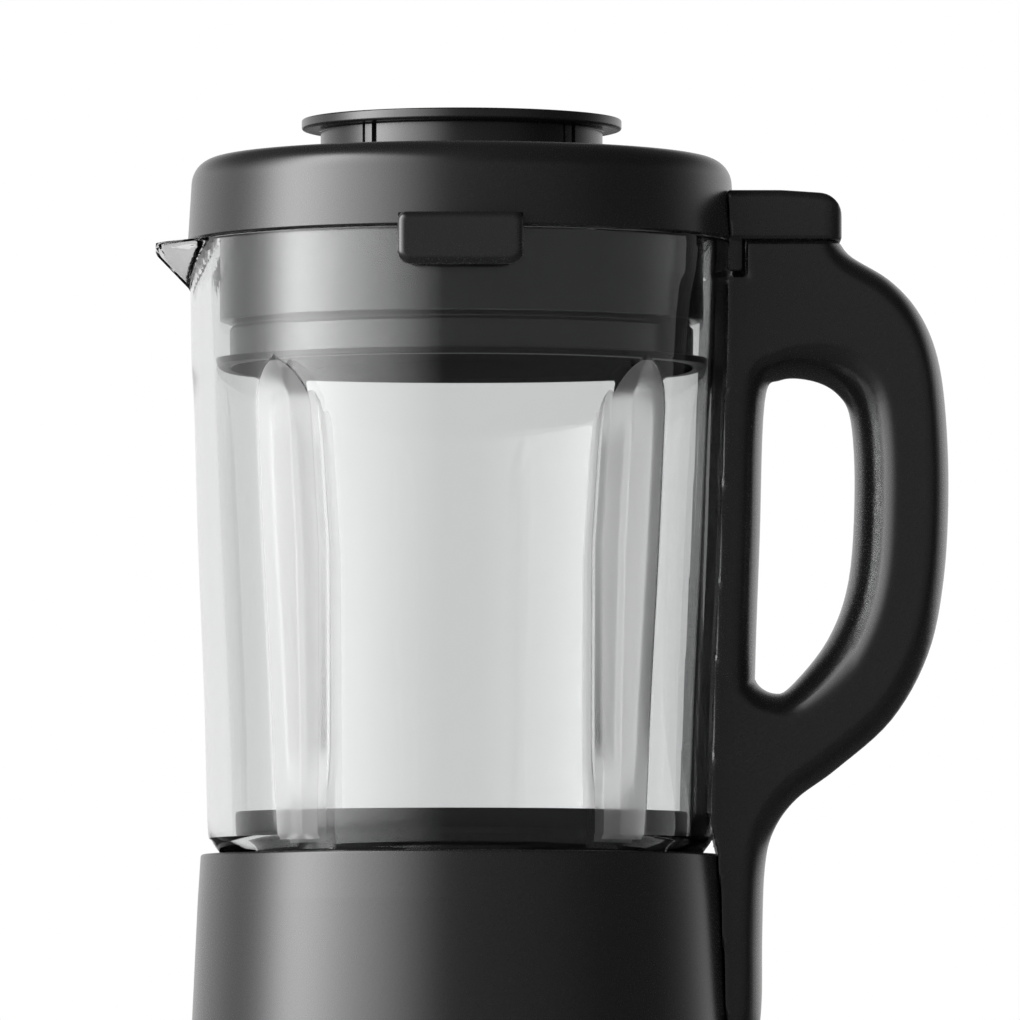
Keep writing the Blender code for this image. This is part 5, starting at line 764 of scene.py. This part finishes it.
# Rings 1.2 mm apart down the outer wall, 0.7 mm at its rounded foot and 2 mm up the inner wall.
levels = np.concatenate([np.arange(GLASS_TOP, 223.0, -1.2), np.arange(223.0, 207.9, -0.7)])
rows = [glass_row(z, np.interp(z, outer_levels, outer_radii), False) for z in levels]
rows += [glass_row(z, r, True) for r, z in foot_line]
for level in np.arange(214.0, GLASS_TOP, 2.0):
    rows.append(glass_row(level, np.interp(level, inner_levels, inner_radii), True))
rows += [glass_row(z, r, True) for r, z in ((75.25, 397.0), (75.9, GLASS_TOP))]
points = [p for row in rows for p in row]
steps = 4 * QUARTER_STEPS
faces = []
finish_of_face = []
for i in range(len(rows)):
    near, far = i * steps, (i + 1) % len(rows) * steps
    row_level = rows[i][0][2]
    outside = i + 1 < len(levels) and FLUTE_FOOT < row_level < FLUTE_APEX
    inside = i > len(levels) and FLUTE_FOOT < row_level < INNER_FLUTE_LEVELS[3]
    bedded = max(row_level, rows[(i + 1) % len(rows)][0][2]) <= BED_LEVEL
    for j in range(steps):
        k = (j + 1) % steps
        faces.append((near + j, far + j, far + k, near + k))
        column = j % QUARTER_STEPS + 0.5
        if j // QUARTER_STEPS % 2:
            column = QUARTER_STEPS - column
        wall = FLUTE_COLUMNS[0] + CLEAR_LIP < column < FLUTE_COLUMNS[2] - CLEAR_LIP
        x, y, _ = rows[i][j]
        share = spout_share(math.atan2(y, x), row_level) if row_level > SPOUT_BOTTOM else 0
        finish = FROSTED if (outside or inside) and wall else CLEAR
        finish = DRAWN if share > DRAWN_SHARE else finish
        finish_of_face.append(BEDDED if bedded else finish)

# Pressed in a polished die, it is clear and bright, and a slow ripple in it bends what is behind.
clear_glass, tree, shader, place = start_material(
    "pressed borosilicate glass", "ebecec", 0.0, IOR=1.47, Transmission_Weight=1.0
)
ripple = add(tree, "TexNoise", {"Vector": place, "Scale": 1 / (30 * MM), "Detail": 0.0})
bump = add(tree, "Bump", {"Height": ripple.outputs["Fac"], "Strength": 0.2, "Distance": 0.05 * MM})
tree.links.new(bump.outputs["Normal"], shader.inputs["Normal"])

# The flutes' walls keep the die's grain, so they glow milky and show nothing clear behind them.
# The grain is drawn 0.8 mm wide, coarser than the real one.
frosted_glass, tree, shader, place = start_material(
    "frosted borosilicate glass", "f0f0f0", 0.3, IOR=1.47, Transmission_Weight=0.87
)
grain = add(tree, "TexNoise", {"Vector": place, "Scale": 1 / (0.8 * MM), "Detail": 3.0})
haze = add(tree, "MapRange", {"Value": grain.outputs["Fac"], "To Min": 0.27, "To Max": 0.33})
tree.links.new(haze.outputs["Result"], shader.inputs["Roughness"])

# The spout was drawn out thin, so light passes it almost unbent and its edge stays pale. The low
# IOR stands for that thin wall.
drawn_glass, tree, shader, place = start_material(
    "thin drawn borosilicate glass", "e8e8e8", 0.02, IOR=1.15, Transmission_Weight=1.0
)
ripple = add(tree, "TexNoise", {"Vector": place, "Scale": 1 / (9 * MM), "Detail": 1.0})
bump = add(tree, "Bump", {"Height": ripple.outputs["Fac"], "Strength": 0.4, "Distance": 0.3 * MM})
tree.links.new(bump.outputs["Normal"], shader.inputs["Normal"])

glass = add_piece(
    "jug_glass_wall", points, faces, clear_glass, "jug", "jug_glass", ["jug_glass"]
)
glass.modifiers.clear()
for finish in (frosted_glass, silicone, drawn_glass):
    glass.data.materials.append(finish)
glass.data.polygons.foreach_set("material_index", np.array(finish_of_face, np.int32))

# Handle
# One D-shaped moulding in black ABS, 38 mm thick, screwed by its leg to the collar. Its finger hole
# has a broad rounding on the grip's side, and its inner side is cut to the glass. A channel for the
# lid switch's wires runs down it, with a pocket for the switch and a bore for its pin at the top.
HANDLE_HALF = 19.0
HANDLE_EDGE = 6.4
HOLE_EDGES = (7.0, 12.8)
HOLE_EDGE_PLACES = (93.0, 117.0)
HANDLE_OUTLINE = (
    (113.85, 397.4),
    (117.3, 393.4),
    (128.55, 386.5),
    (136.9, 377.5),
    (142.4, 365.5),
    (145.2, 349.0),
    (146.25, 323.5),
    (144.75, 296.5),
    (140.0, 274.0),
    (129.15, 254.5),
    (112.5, 239.6),
    (100.35, 230.5),
    (93.6, 221.0),
    (91.0, 210.0),
    (90.2, 190.0),
    (90.0, 170.0),
    (88.6, 160.0),
    (84.6, 154.6),
    (78.0, 153.0),
)
HANDLE_HOLE = (
    (95.85, 356.5),
    (105.45, 356.3),
    (112.95, 352.3),
    (116.85, 344.5),
    (118.05, 323.5),
    (116.25, 296.5),
    (109.95, 278.5),
    (98.6, 264.3),
    (93.45, 262.4),
    (88.7, 265.4),
    (88.2, 271.0),
    (89.55, 308.5),
    (91.1, 350.0),
)
NOTCH_REACH = 85.4
NOTCH_LEVEL = 386.6
CHANNEL_HALF = 6.0
CHANNEL_REACH = 86.4
CHANNEL_LEVELS = (226.0, 384.0)
SWITCH_X = 100.0
POCKET_HALVES = (6.8, 4.8)
POCKET_LEVELS = (375.7, 390.3)
PIN_BORE = 2.7
PIN_BORE_FOOT = 389.0
GROOVE_FROM = 17.4
GROOVE_DEPTH = 0.8
SEAT_GAP = 0.3


def oval_edge(distance, y, half, width):
    """Distance to a slab's surface that falls away over this width in a quarter of an oval."""
    across = np.maximum(distance + width, 0) / width
    return (np.sqrt(across**2 + (y / half) ** 2) - 1) * width


handle_line = smooth_line([Vector(p) for p in HANDLE_OUTLINE], 6, False)
handle_line += [Vector((62.0, 153.0)), Vector((62.0, 415.0)), Vector((113.85, 415.0))]
hole_line = smooth_line([Vector(p) for p in HANDLE_HOLE], 6, True)
# The handle's inner side follows the glass and, below it, the collar.
seat_rows = [(r, z) for z, r in GLASS_OUTER[1:8]]
seat_rows += [(78.2, 214.3), (79.1, 200.0), (81.3, 152.3)]
seat_levels = [z for r, z in seat_rows][::-1]
seat_radii = [r + SEAT_GAP for r, z in seat_rows][::-1]


def handle_shape(x, y, z):
    rim = outline_distance(handle_line, x, z)
    hole = -outline_distance(hole_line, x, z)
    share = np.clip((x - HOLE_EDGE_PLACES[0]) / (HOLE_EDGE_PLACES[1] - HOLE_EDGE_PLACES[0]), 0, 1)
    radius = HOLE_EDGES[0] + (HOLE_EDGES[1] - HOLE_EDGES[0]) * share
    body = np.maximum(
        oval_edge(rim, y, HANDLE_HALF, HANDLE_EDGE), oval_edge(hole, y, HANDLE_HALF, radius)
    )
    seat = np.interp(z, seat_levels, seat_radii) - np.hypot(x, y)
    notch = np.minimum(NOTCH_REACH - x, z - NOTCH_LEVEL)
    channel = np.minimum(CHANNEL_HALF - np.abs(y), CHANNEL_REACH - x)
    channel = np.minimum(channel, np.minimum(z - CHANNEL_LEVELS[0], CHANNEL_LEVELS[1] - z))
    pocket = np.minimum(POCKET_HALVES[0] - np.abs(x - SWITCH_X), POCKET_HALVES[1] - np.abs(y))
    pocket = np.minimum(pocket, np.minimum(z - POCKET_LEVELS[0], POCKET_LEVELS[1] - z))
    bore = np.minimum(PIN_BORE - np.hypot(x - SWITCH_X, y), z - PIN_BORE_FOOT)
    cut = np.maximum.reduce([seat + 0 * x, notch + 0 * y, channel, pocket, bore])
    groove = np.where(np.abs(y) > GROOVE_FROM, GROOVE_DEPTH, 0)
    return np.maximum(np.maximum(body, cut), z - GLASS_TOP + groove)


points, faces = netted(handle_shape, (70.0, -20.0, 151.0), (148.5, 20.0, 399.0), 1.0)
add_piece("jug_handle_grip", points, faces, satin_black, "jug", "black_gloss", ["jug_handle"])

# Lid shell
# The lid's outer cover, a shallow cup moulded in black ABS with a big round shoulder.
# It is pressed over the inner lid and has a seat cut in its front for the pull tab.
lid_outline = rounded(
    [
        (45.4, 423.0, 0.5),
        (80.74, 423.0, 7.9),
        (82.3, 397.7, 0.7),
        (79.8, 397.7, 0.3),
        (78.7, 415.5, 5.0),
        (73.7, 420.5, 1.0),
        (45.4, 420.5, 0.3),
    ]
)
points, faces = turned(lid_outline)
seat_line = [(-18.35, 390.0), (18.35, 390.0), (18.35, 401.3), (-18.35, 401.3)]
seat = prism(seat_line, -90.0, -48.0)
add_piece(
    "lid_cover", points, faces, satin_black, "lid", "black_gloss", ["lid_shell"], cutters=[seat]
)

# Inner lid
# The plug in the jug's mouth: a deep ring with a groove, a lower band and the feed tube, moulded in
# one piece of nylon, which stands the steam, and snapped in the lid shell.
TUBE_RADIUS = 43.6
# Unfilled nylon from a smoother mould is blacker than the ABS, and the light on it is narrower.
inner_black = moulded(
    "satin moulded black nylon", "101010", "131313", 0.2, 0.35, 0.0002, Specular_IOR_Level=0.8
)
plug_outline = rounded(
    [
        (70.1, 400.2, 0.3),
        (79.3, 400.2, 0.5),
        (79.3, 397.7, 0.5),
        (72.6, 397.7, 0.5),
        (72.6, 373.0, 0.6),
        (68.4, 371.8, 0.3),
        (69.6, 370.6, 0.4),
        (69.6, 360.2, 0.5),
        (43.1, 360.2, 0.5),
        (43.1, 422.7, 0.6),
        (45.1, 422.7, 0.6),
        (45.1, 362.6, 0.3),
        (67.1, 362.6, 0.3),
        (67.1, 371.8, 0.3),
        (70.1, 375.5, 0.3),
    ]
)
points, faces = turned(plug_outline)
plug = add_piece(
    "lid_plug_ring", points, faces, inner_black, "lid", "black_gloss", ["lid_plug"]
)
# Its underside and the inside of its tube take black nylon with no specular reflection at all,
# painted shade that keeps them black.
painted_shade_black = moulded(
    "unreflecting black nylon, painted shade", "141414", "171717", 0.6, 0.4, 0.004, Specular_IOR_Level=0.0
)
plug.data.materials.append(painted_shade_black)
# Painted shade: faces inside the tube, and those facing down at the plug's foot, take the
# unreflecting black.
for face in plug.data.polygons:
    x, y, z = (c / MM for c in face.center)
    inside = math.hypot(x - AXIS_X, y) < TUBE_RADIUS
    face.material_index = int(inside or face.normal.z < -0.7 and z < 361)

# Lid gasket
# A soft lip pushed over the foot of the inner lid, which seals against the glass. It is moulded in
# the same black silicone as the pan's seal.
gasket_outline = rounded(
    [(69.9, 360.3, 0.3), (69.9, 362.2, 0.3), (73.8, 362.2, 0.5), (73.8, 360.3, 0.5)]
)
points, faces = turned(gasket_outline)
add_piece("lid_seal_lip", points, faces, silicone, "lid", "silicone", ["lid_gasket"])

# Lid ear
# The block on the lid that covers the handle's top, moulded in black ABS and welded to the shell.
# Its leg drops into the handle's notch, and its underside presses the pin of the lid switch.
EAR_EDGE_LEVELS = (400.0, 408.0)
EAR_EDGES = (0.7, 2.4)
EAR_FACE = 82.6
LID_SIDE_SLOPE = 0.0618
LEG_FACES = (81.85, 83.9)
LEG_HALF = 18.6
LEG_LEVELS = (388.2, 399.0)
LEG_RIB = 1.2
LEG_RIB_HALF = 12.0
ear_line = rounded(
    [
        (62.0, 397.7, 0),
        (62.0, 412.6, 0),
        (96.0, 412.6, 40.0),
        (113.9, 411.4, 7.0),
        (113.9, 397.7, 0.6),
    ]
)
ear_plan = rounded([(62.0, -19.0, 0), (113.9, -19.0, 5.0), (113.9, 19.0, 5.0), (62.0, 19.0, 0)])


def ear_shape(x, y, z):
    edge = np.interp(z, EAR_EDGE_LEVELS, EAR_EDGES)
    block = soft_edge(outline_distance(ear_line, x, z), y, HANDLE_HALF, edge)
    block = np.maximum(block, outline_distance(ear_plan, x, y))
    seat = EAR_FACE - np.maximum(z - 398, 0) * LID_SIDE_SLOPE - np.hypot(x, y)
    rib = np.where(np.abs(y) < LEG_RIB_HALF, LEG_RIB, 0)
    leg = np.maximum(LEG_FACES[0] - np.hypot(x, y), x - LEG_FACES[1] - rib)
    ends = np.maximum(LEG_LEVELS[0] - rib - z, z - LEG_LEVELS[1])
    leg = np.maximum(leg, np.maximum(np.abs(y) - LEG_HALF, ends))
    return np.minimum(np.maximum(block, seat), leg)


points, faces = netted(ear_shape, (77.0, -20.0, 385.5), (115.0, 20.0, 414.0), 0.7)
add_piece("lid_ear_block", points, faces, satin_black, "lid", "black_gloss", ["lid_ear"])

# Pull tab
# The plate that a finger lifts the lid by, moulded in the same ABS with well rounded edges.
# Its root fills the seat in the shell, where it is welded.
TAB_FACE = 86.1
TAB_BACK = 82.9
TAB_EDGE = 2.2
ROOT_HALF = 17.9
ROOT_LEVELS = (398.0, 400.9)
ROOT_DEPTHS = (79.5, 84.0)
tab_outline = rounded(
    [
        (18.6, 401.3, 2.8),
        (-18.6, 401.3, 2.8),
        (-18.6, 385.8, 4.2),
        (18.6, 385.8, 4.2),
    ]
)


def tab_shape(x, y, z):
    rim = outline_distance(tab_outline, x, z)
    front = -TAB_FACE - y
    across, through = rim + TAB_EDGE, front + TAB_EDGE
    corner = np.hypot(np.maximum(across, 0), np.maximum(through, 0))
    plate = np.minimum(np.maximum(across, through), 0) + corner - TAB_EDGE
    plate = np.maximum(plate, y + TAB_BACK)
    root = np.maximum(np.abs(x) - ROOT_HALF, np.maximum(ROOT_LEVELS[0] - z, z - ROOT_LEVELS[1]))
    root = np.maximum(root, np.maximum(y + ROOT_DEPTHS[0], -ROOT_DEPTHS[1] - y))
    return np.minimum(plate, root)


points, faces = netted(tab_shape, (-19.0, -87.0, 384.5), (19.0, -78.5, 402.2), 0.4)
add_piece("lid_tab_plate", points, faces, satin_black, "lid", "black_gloss", ["lid_pull_tab"])

# Feed cap
# A dish-shaped cap moulded in the same ABS. Its neck closes the feed tube, serves as a measure and
# has four pairs of slots, where the tools that formed its catches were drawn out.
NECK_RADII = (41.5, 42.5)
NECK_FOOT = 410.5
# Each slot's place from the first one and its half width, in degrees, and its depth.
CAP_SLOTS = ((0.0, 0.5, 1.2), (5.5, 0.9, 2.0))
CAP_SLOT_START = -37.8
cap_outline = rounded(
    [
        (0, 434.9, 0),
        (48.1, 434.9, 0.6),
        (48.1, 431.9, 1.0),
        (46.9, 431.6, 0.6),
        (42.4, 431.6, 0.6),
        (42.4, 410.0, 0.5),
        (40.0, 410.0, 0.2),
        (40.0, 406.4, 0.2),
        (41.2, 406.4, 0.4),
        (41.2, 392.0, 0.6),
        (39.0, 392.0, 0.6),
        (37.8, 404.2, 0.3),
        (37.8, 428.4, 2.0),
        (0, 428.4, 0),
    ]
)


def cap_slot(angle, radius, level):
    """How far the neck is cut in at this angle."""
    if not NECK_RADII[0] < radius < NECK_RADII[1] or level < NECK_FOOT:
        return 0
    turn = math.degrees(math.atan2(math.cos(angle), -math.sin(angle))) - CAP_SLOT_START
    turn = (turn + CAP_SLOTS[1][0] + 3.0) % 90 - 3.0
    return -sum(deep for place, half, deep in CAP_SLOTS if abs(turn - place) < half)


points, faces = turned(cap_outline, 720)
cut = []
for x, y, z in points:
    radius = math.hypot(x, y)
    share = 1 + cap_slot(math.atan2(y, x), radius, z) / max(radius, 1)
    cut.append((x * share, y * share, z))
add_piece("feed_cap_dish", cut, faces, satin_black, "cap", "black_gloss", ["feed_cap"])

# Pieces inside
# Everything else keeps the shape of its node and takes the finish of what it is made of: windings
# and laminations show their layers, and cast, sintered and moulded pieces their grain.

# Ground steel is bright with a fine haze of scratches, and stainless steel is whiter and cleaner.
steel = moulded("ground steel", "b0b2b4", "bcbec0", 0.3, 0.3, 0.002, Metallic=1.0)
stainless = moulded("ground stainless steel", "b9bbbc", "c6c8c9", 0.24, 0.25, 0.001, Metallic=1.0)
# Sintered bronze is yellow and pitted, die-cast aluminium pale with an uneven skin, and pressed
# carbon a dull dark grey.
bronze = moulded("sintered bronze", "a98a55", "b79a66", 0.45, 0.3, 0.004, Metallic=1.0)
aluminium = moulded("die-cast aluminium", "a9abad", "b7b9bb", 0.42, 0.6, 0.01, Metallic=1.0)
carbon = moulded("pressed carbon", "2c2c2e", "38383a", 0.5, 0.3, 0.004)

# The width of one band of the wave texture at a scale of 1.
WAVE_BAND = 0.314


def layered(name, colour, line_colour, roughness, pitch_mm, **sockets):
    """Thin layers one above the other, with a dark line between each two."""
    material, tree, shader, place = start_material(name, colour, roughness, **sockets)
    bands = add(
        tree,
        "TexWave",
        {"Vector": place, "Scale": WAVE_BAND / (pitch_mm * MM), "Distortion": 0.0},
        bands_direction="Z",
    )
    tint = add(
        tree,
        "Mix",
        {"Factor": bands.outputs["Fac"], "A": linear(line_colour), "B": linear(colour)},
        data_type="RGBA",
    )
    tree.links.new(tint.outputs["Result"], shader.inputs["Base Color"])
    bump = add(
        tree, "Bump", {"Height": bands.outputs["Fac"], "Strength": 0.6, "Distance": 0.1 * MM}
    )
    tree.links.new(bump.outputs["Normal"], shader.inputs["Normal"])
    return material


# The edges of the core's punched sheets show as lines, drawn 1 mm apart where the sheets are 0.5 mm
# thick, and the enamelled wire as red-brown ribs 0.8 mm apart.
laminated = layered("laminated electrical steel", "8d9092", "4c4e50", 0.4, 1.0, Metallic=1.0)
copper = layered("varnished copper winding", "c8753f", "6b3315", 0.3, 0.8, Metallic=1.0)
# Solder mask is a green lacquer under which the copper tracks show as paler lines.
board, tree, shader, place = start_material("green solder mask", "12502a", 0.35)
traces = add(tree, "TexBrick", {"Vector": place, "Scale": 1 / (24 * MM), "Mortar Size": 0.012})
traces.inputs["Color1"].default_value = linear("12502a")
traces.inputs["Color2"].default_value = linear("145a2f")
traces.inputs["Mortar"].default_value = linear("2b7a45")
tree.links.new(traces.outputs["Color"], shader.inputs["Base Color"])
finishes = {
    "black_gloss": satin_black,
    "matte_plastic": matte_black,
    "grey_plastic": grey,
    "jug_glass": clear_glass,
    "rubber": rubber,
    "silicone": silicone,
    "stainless": stainless,
    "steel": steel,
    "laminated_steel": laminated,
    "copper": copper,
    "bronze": bronze,
    "aluminium": aluminium,
    "carbon": carbon,
    "board": board,
}
for row in frame["record"]["subparts"]:
    node = frame["nodes"][row["node"]]
    node.data.materials.clear()
    node.data.materials.append(finishes[row["material_slot"]])

# Studio
# A round pale floor, a big soft lamp on the left whose light fades towards its sides, and the
# photograph's camera. The world is white to the camera and through the glass. To what is black and
# glossy it is dim at the sides and above, as black flags beside the object make it.
FLOOR_RADIUS = 1.65
floor_mesh = bpy.data.meshes.new("studio_floor")
turns = np.linspace(0, FULL_TURN, 129)[:-1]
edge = [(FLOOR_RADIUS * math.cos(a), FLOOR_RADIUS * math.sin(a), -0.0005) for a in turns]
floor_mesh.from_pydata(edge, [], [tuple(range(len(edge)))])
floor = bpy.data.objects.new("studio_floor", floor_mesh)
bpy.context.scene.collection.objects.link(floor)
# Uncoated paper is matt, and its fibres, drawn 2 mm long so that they show, cloud it a little.
# Glossy rays that are not transmission rays see it painted dark grey instead. This painted
# reflection makes the black plastic mirror it as a dark floor.
paper, tree, shader, place = start_material("matte white paper with painted dark reflection", "e6e6e6", 0.9)
fibre = add(tree, "TexNoise", {"Vector": place, "Scale": 1 / (2 * MM), "Detail": 2.0})
shade = add(
    tree,
    "Mix",
    {"Factor": fibre.outputs["Fac"], "A": linear("e4e4e4"), "B": linear("e8e8e8")},
    data_type="RGBA",
)
# Painted reflection: the share of painted dark grey that glossy rays see in place of the paper.
path = add(tree, "LightPath")
painted_reflection_share = add(
    tree,
    "Math",
    {0: path.outputs["Is Glossy Ray"], 1: path.outputs["Is Transmission Ray"]},
    operation="SUBTRACT",
    use_clamp=True,
)
seen = add(
    tree,
    "Mix",
    {
        "Factor": painted_reflection_share.outputs["Value"],
        "A": shade.outputs["Result"],
        "B": linear("3a3a3a"),
    },
    data_type="RGBA",
)
tree.links.new(seen.outputs["Result"], shader.inputs["Base Color"])
floor_mesh.materials.append(paper)

world = bpy.data.worlds.new("studio")
bpy.context.scene.world = world
world.use_nodes = True
tree = world.node_tree
tree.nodes.clear()
direction = add(tree, "TexCoord").outputs["Generated"]
axes = add(tree, "SeparateXYZ", {"Vector": direction})
path = add(tree, "LightPath")
WORLD_DIFFUSE = 0.45
WORLD_GLOSSY = (
    (-1.0, 0.13),
    (-0.8, 0.1),
    (-0.55, 0.03),
    (0.0, 0.04),
    (0.18, 0.13),
    (0.31, 0.2),
    (0.44, 0.4),
    (0.56, 0.66),
    (0.7, 0.85),
    (1.0, 1.0),
)
WORLD_HEIGHT = ((-0.12, 0.05), (0.0, 1.0), (0.2, 1.0), (0.5, 0.08), (1.0, 0.05))
WORLD_THROUGH = ((-1.0, 0.3), (0.0, 0.4), (0.8, 0.92), (1.0, 0.92))


def light_curve(tree, value, stops, low, high):
    """The light's level along a value, as a curve through (place, level) stops."""
    share = add(tree, "MapRange", {"Value": value, "From Min": low, "From Max": high})
    curve = add(tree, "ValToRGB", {"Fac": share.outputs["Result"]})
    elements = curve.color_ramp.elements
    while len(elements) < len(stops):
        elements.new(0.5)
    for element, (place, level) in zip(elements, stops):
        element.position = (place - low) / (high - low)
        element.color = (level, level, level, 1.0)
    return curve.outputs["Color"]


aslant = add(tree, "VectorMath", {0: direction, 1: (-0.1, 1.0, 0.0)}, operation="DOT_PRODUCT")
behind = light_curve(tree, aslant.outputs["Value"], WORLD_GLOSSY, -1.0, 1.0)
height = light_curve(tree, axes.outputs["Z"], WORLD_HEIGHT, -1.0, 1.0)
glossy = add(tree, "Math", {0: behind, 1: height}, operation="MULTIPLY")
through = light_curve(tree, axes.outputs["Y"], WORLD_THROUGH, -1.0, 1.0)
strength = WORLD_DIFFUSE
for ray, seen in (
    ("Is Glossy Ray", glossy.outputs["Value"]),
    ("Is Transmission Ray", through),
    ("Is Camera Ray", 1.0),
):
    mix = add(tree, "Mix", {"Factor": path.outputs[ray], "A": strength, "B": seen})
    strength = mix.outputs["Result"]
back = add(tree, "Background", {"Color": (1.0, 1.0, 1.0, 1.0), "Strength": strength})
add(tree, "OutputWorld", {"Surface": back.outputs["Background"]})

LAMP_AZIMUTH = 65.0
LAMP_DISTANCE = 1.7
LAMP_HALF_WIDTH = 3.2
LAMP_BOTTOM = 0.01
LAMP_TOP = 3.0
LAMP_LEVEL = 6.4
LAMP_FADE = ((0.0, 0.0), (0.06, 1.0), (0.75, 1.0), (1.0, 0.0))
# The lamp's level by azimuth, in degrees from the machine's front round to its left.
LAMP_PROFILE = (
    (8, 0.0),
    (13, 0.045),
    (18, 0.1),
    (22, 0.15),
    (26, 0.2),
    (35, 0.32),
    (44, 0.43),
    (53, 0.57),
    (63, 0.8),
    (73, 0.95),
    (79, 0.9),
    (84, 0.68),
    (90, 0.33),
    (96, 0.17),
    (102, 0.08),
    (108, 0.03),
    (114, 0.0),
)
light = bpy.data.lights.new("left_softbox", "AREA")
light.shape = "RECTANGLE"
light.size = 2 * LAMP_HALF_WIDTH
light.size_y = LAMP_TOP - LAMP_BOTTOM
light.energy = LAMP_LEVEL * light.size * light.size_y * math.pi
light.use_nodes = True
tree = light.node_tree
emission = tree.nodes["Emission"]
place = add(tree, "NewGeometry").outputs["Parametric"]
across = add(tree, "SeparateXYZ", {"Vector": place})
stops = []
for azimuth, share in LAMP_PROFILE:
    reach = LAMP_DISTANCE * math.tan(math.radians(azimuth - LAMP_AZIMUTH))
    stops.append((0.5 - reach / (2 * LAMP_HALF_WIDTH), share))
profile = light_curve(tree, across.outputs["X"], stops[::-1], 0.0, 1.0)
fade = light_curve(tree, across.outputs["Y"], LAMP_FADE, 0.0, 1.0)
share = add(tree, "Math", {0: profile, 1: fade}, operation="MULTIPLY")
tree.links.new(share.outputs["Value"], emission.inputs["Strength"])
lamp = bpy.data.objects.new("left_softbox", light)
lamp.visible_camera = False
bpy.context.scene.collection.objects.link(lamp)
turn = math.radians(LAMP_AZIMUTH)
toward = Vector((-math.sin(turn), -math.cos(turn), 0))
lamp.location = toward * LAMP_DISTANCE + Vector((0, 0, (LAMP_TOP + LAMP_BOTTOM) / 2))
lamp.rotation_euler = toward.to_track_quat("Z", "Y").to_euler()

CAMERA_LENS = 427.0
CAMERA_PLACE = (-0.011575, -3.63, 0.1435)
CAMERA_RISE = 2.744
camera_data = bpy.data.cameras.new("camera")
camera_data.lens = CAMERA_LENS
camera_data.sensor_width = 36.0
camera_data.clip_end = 30.0
camera = bpy.data.objects.new("camera", camera_data)
bpy.context.scene.collection.objects.link(camera)
camera.location = CAMERA_PLACE
camera.rotation_euler = (math.radians(90 + CAMERA_RISE), 0, 0)
bpy.context.scene.camera = camera
bpy.context.scene.view_settings.view_transform = "Standard"
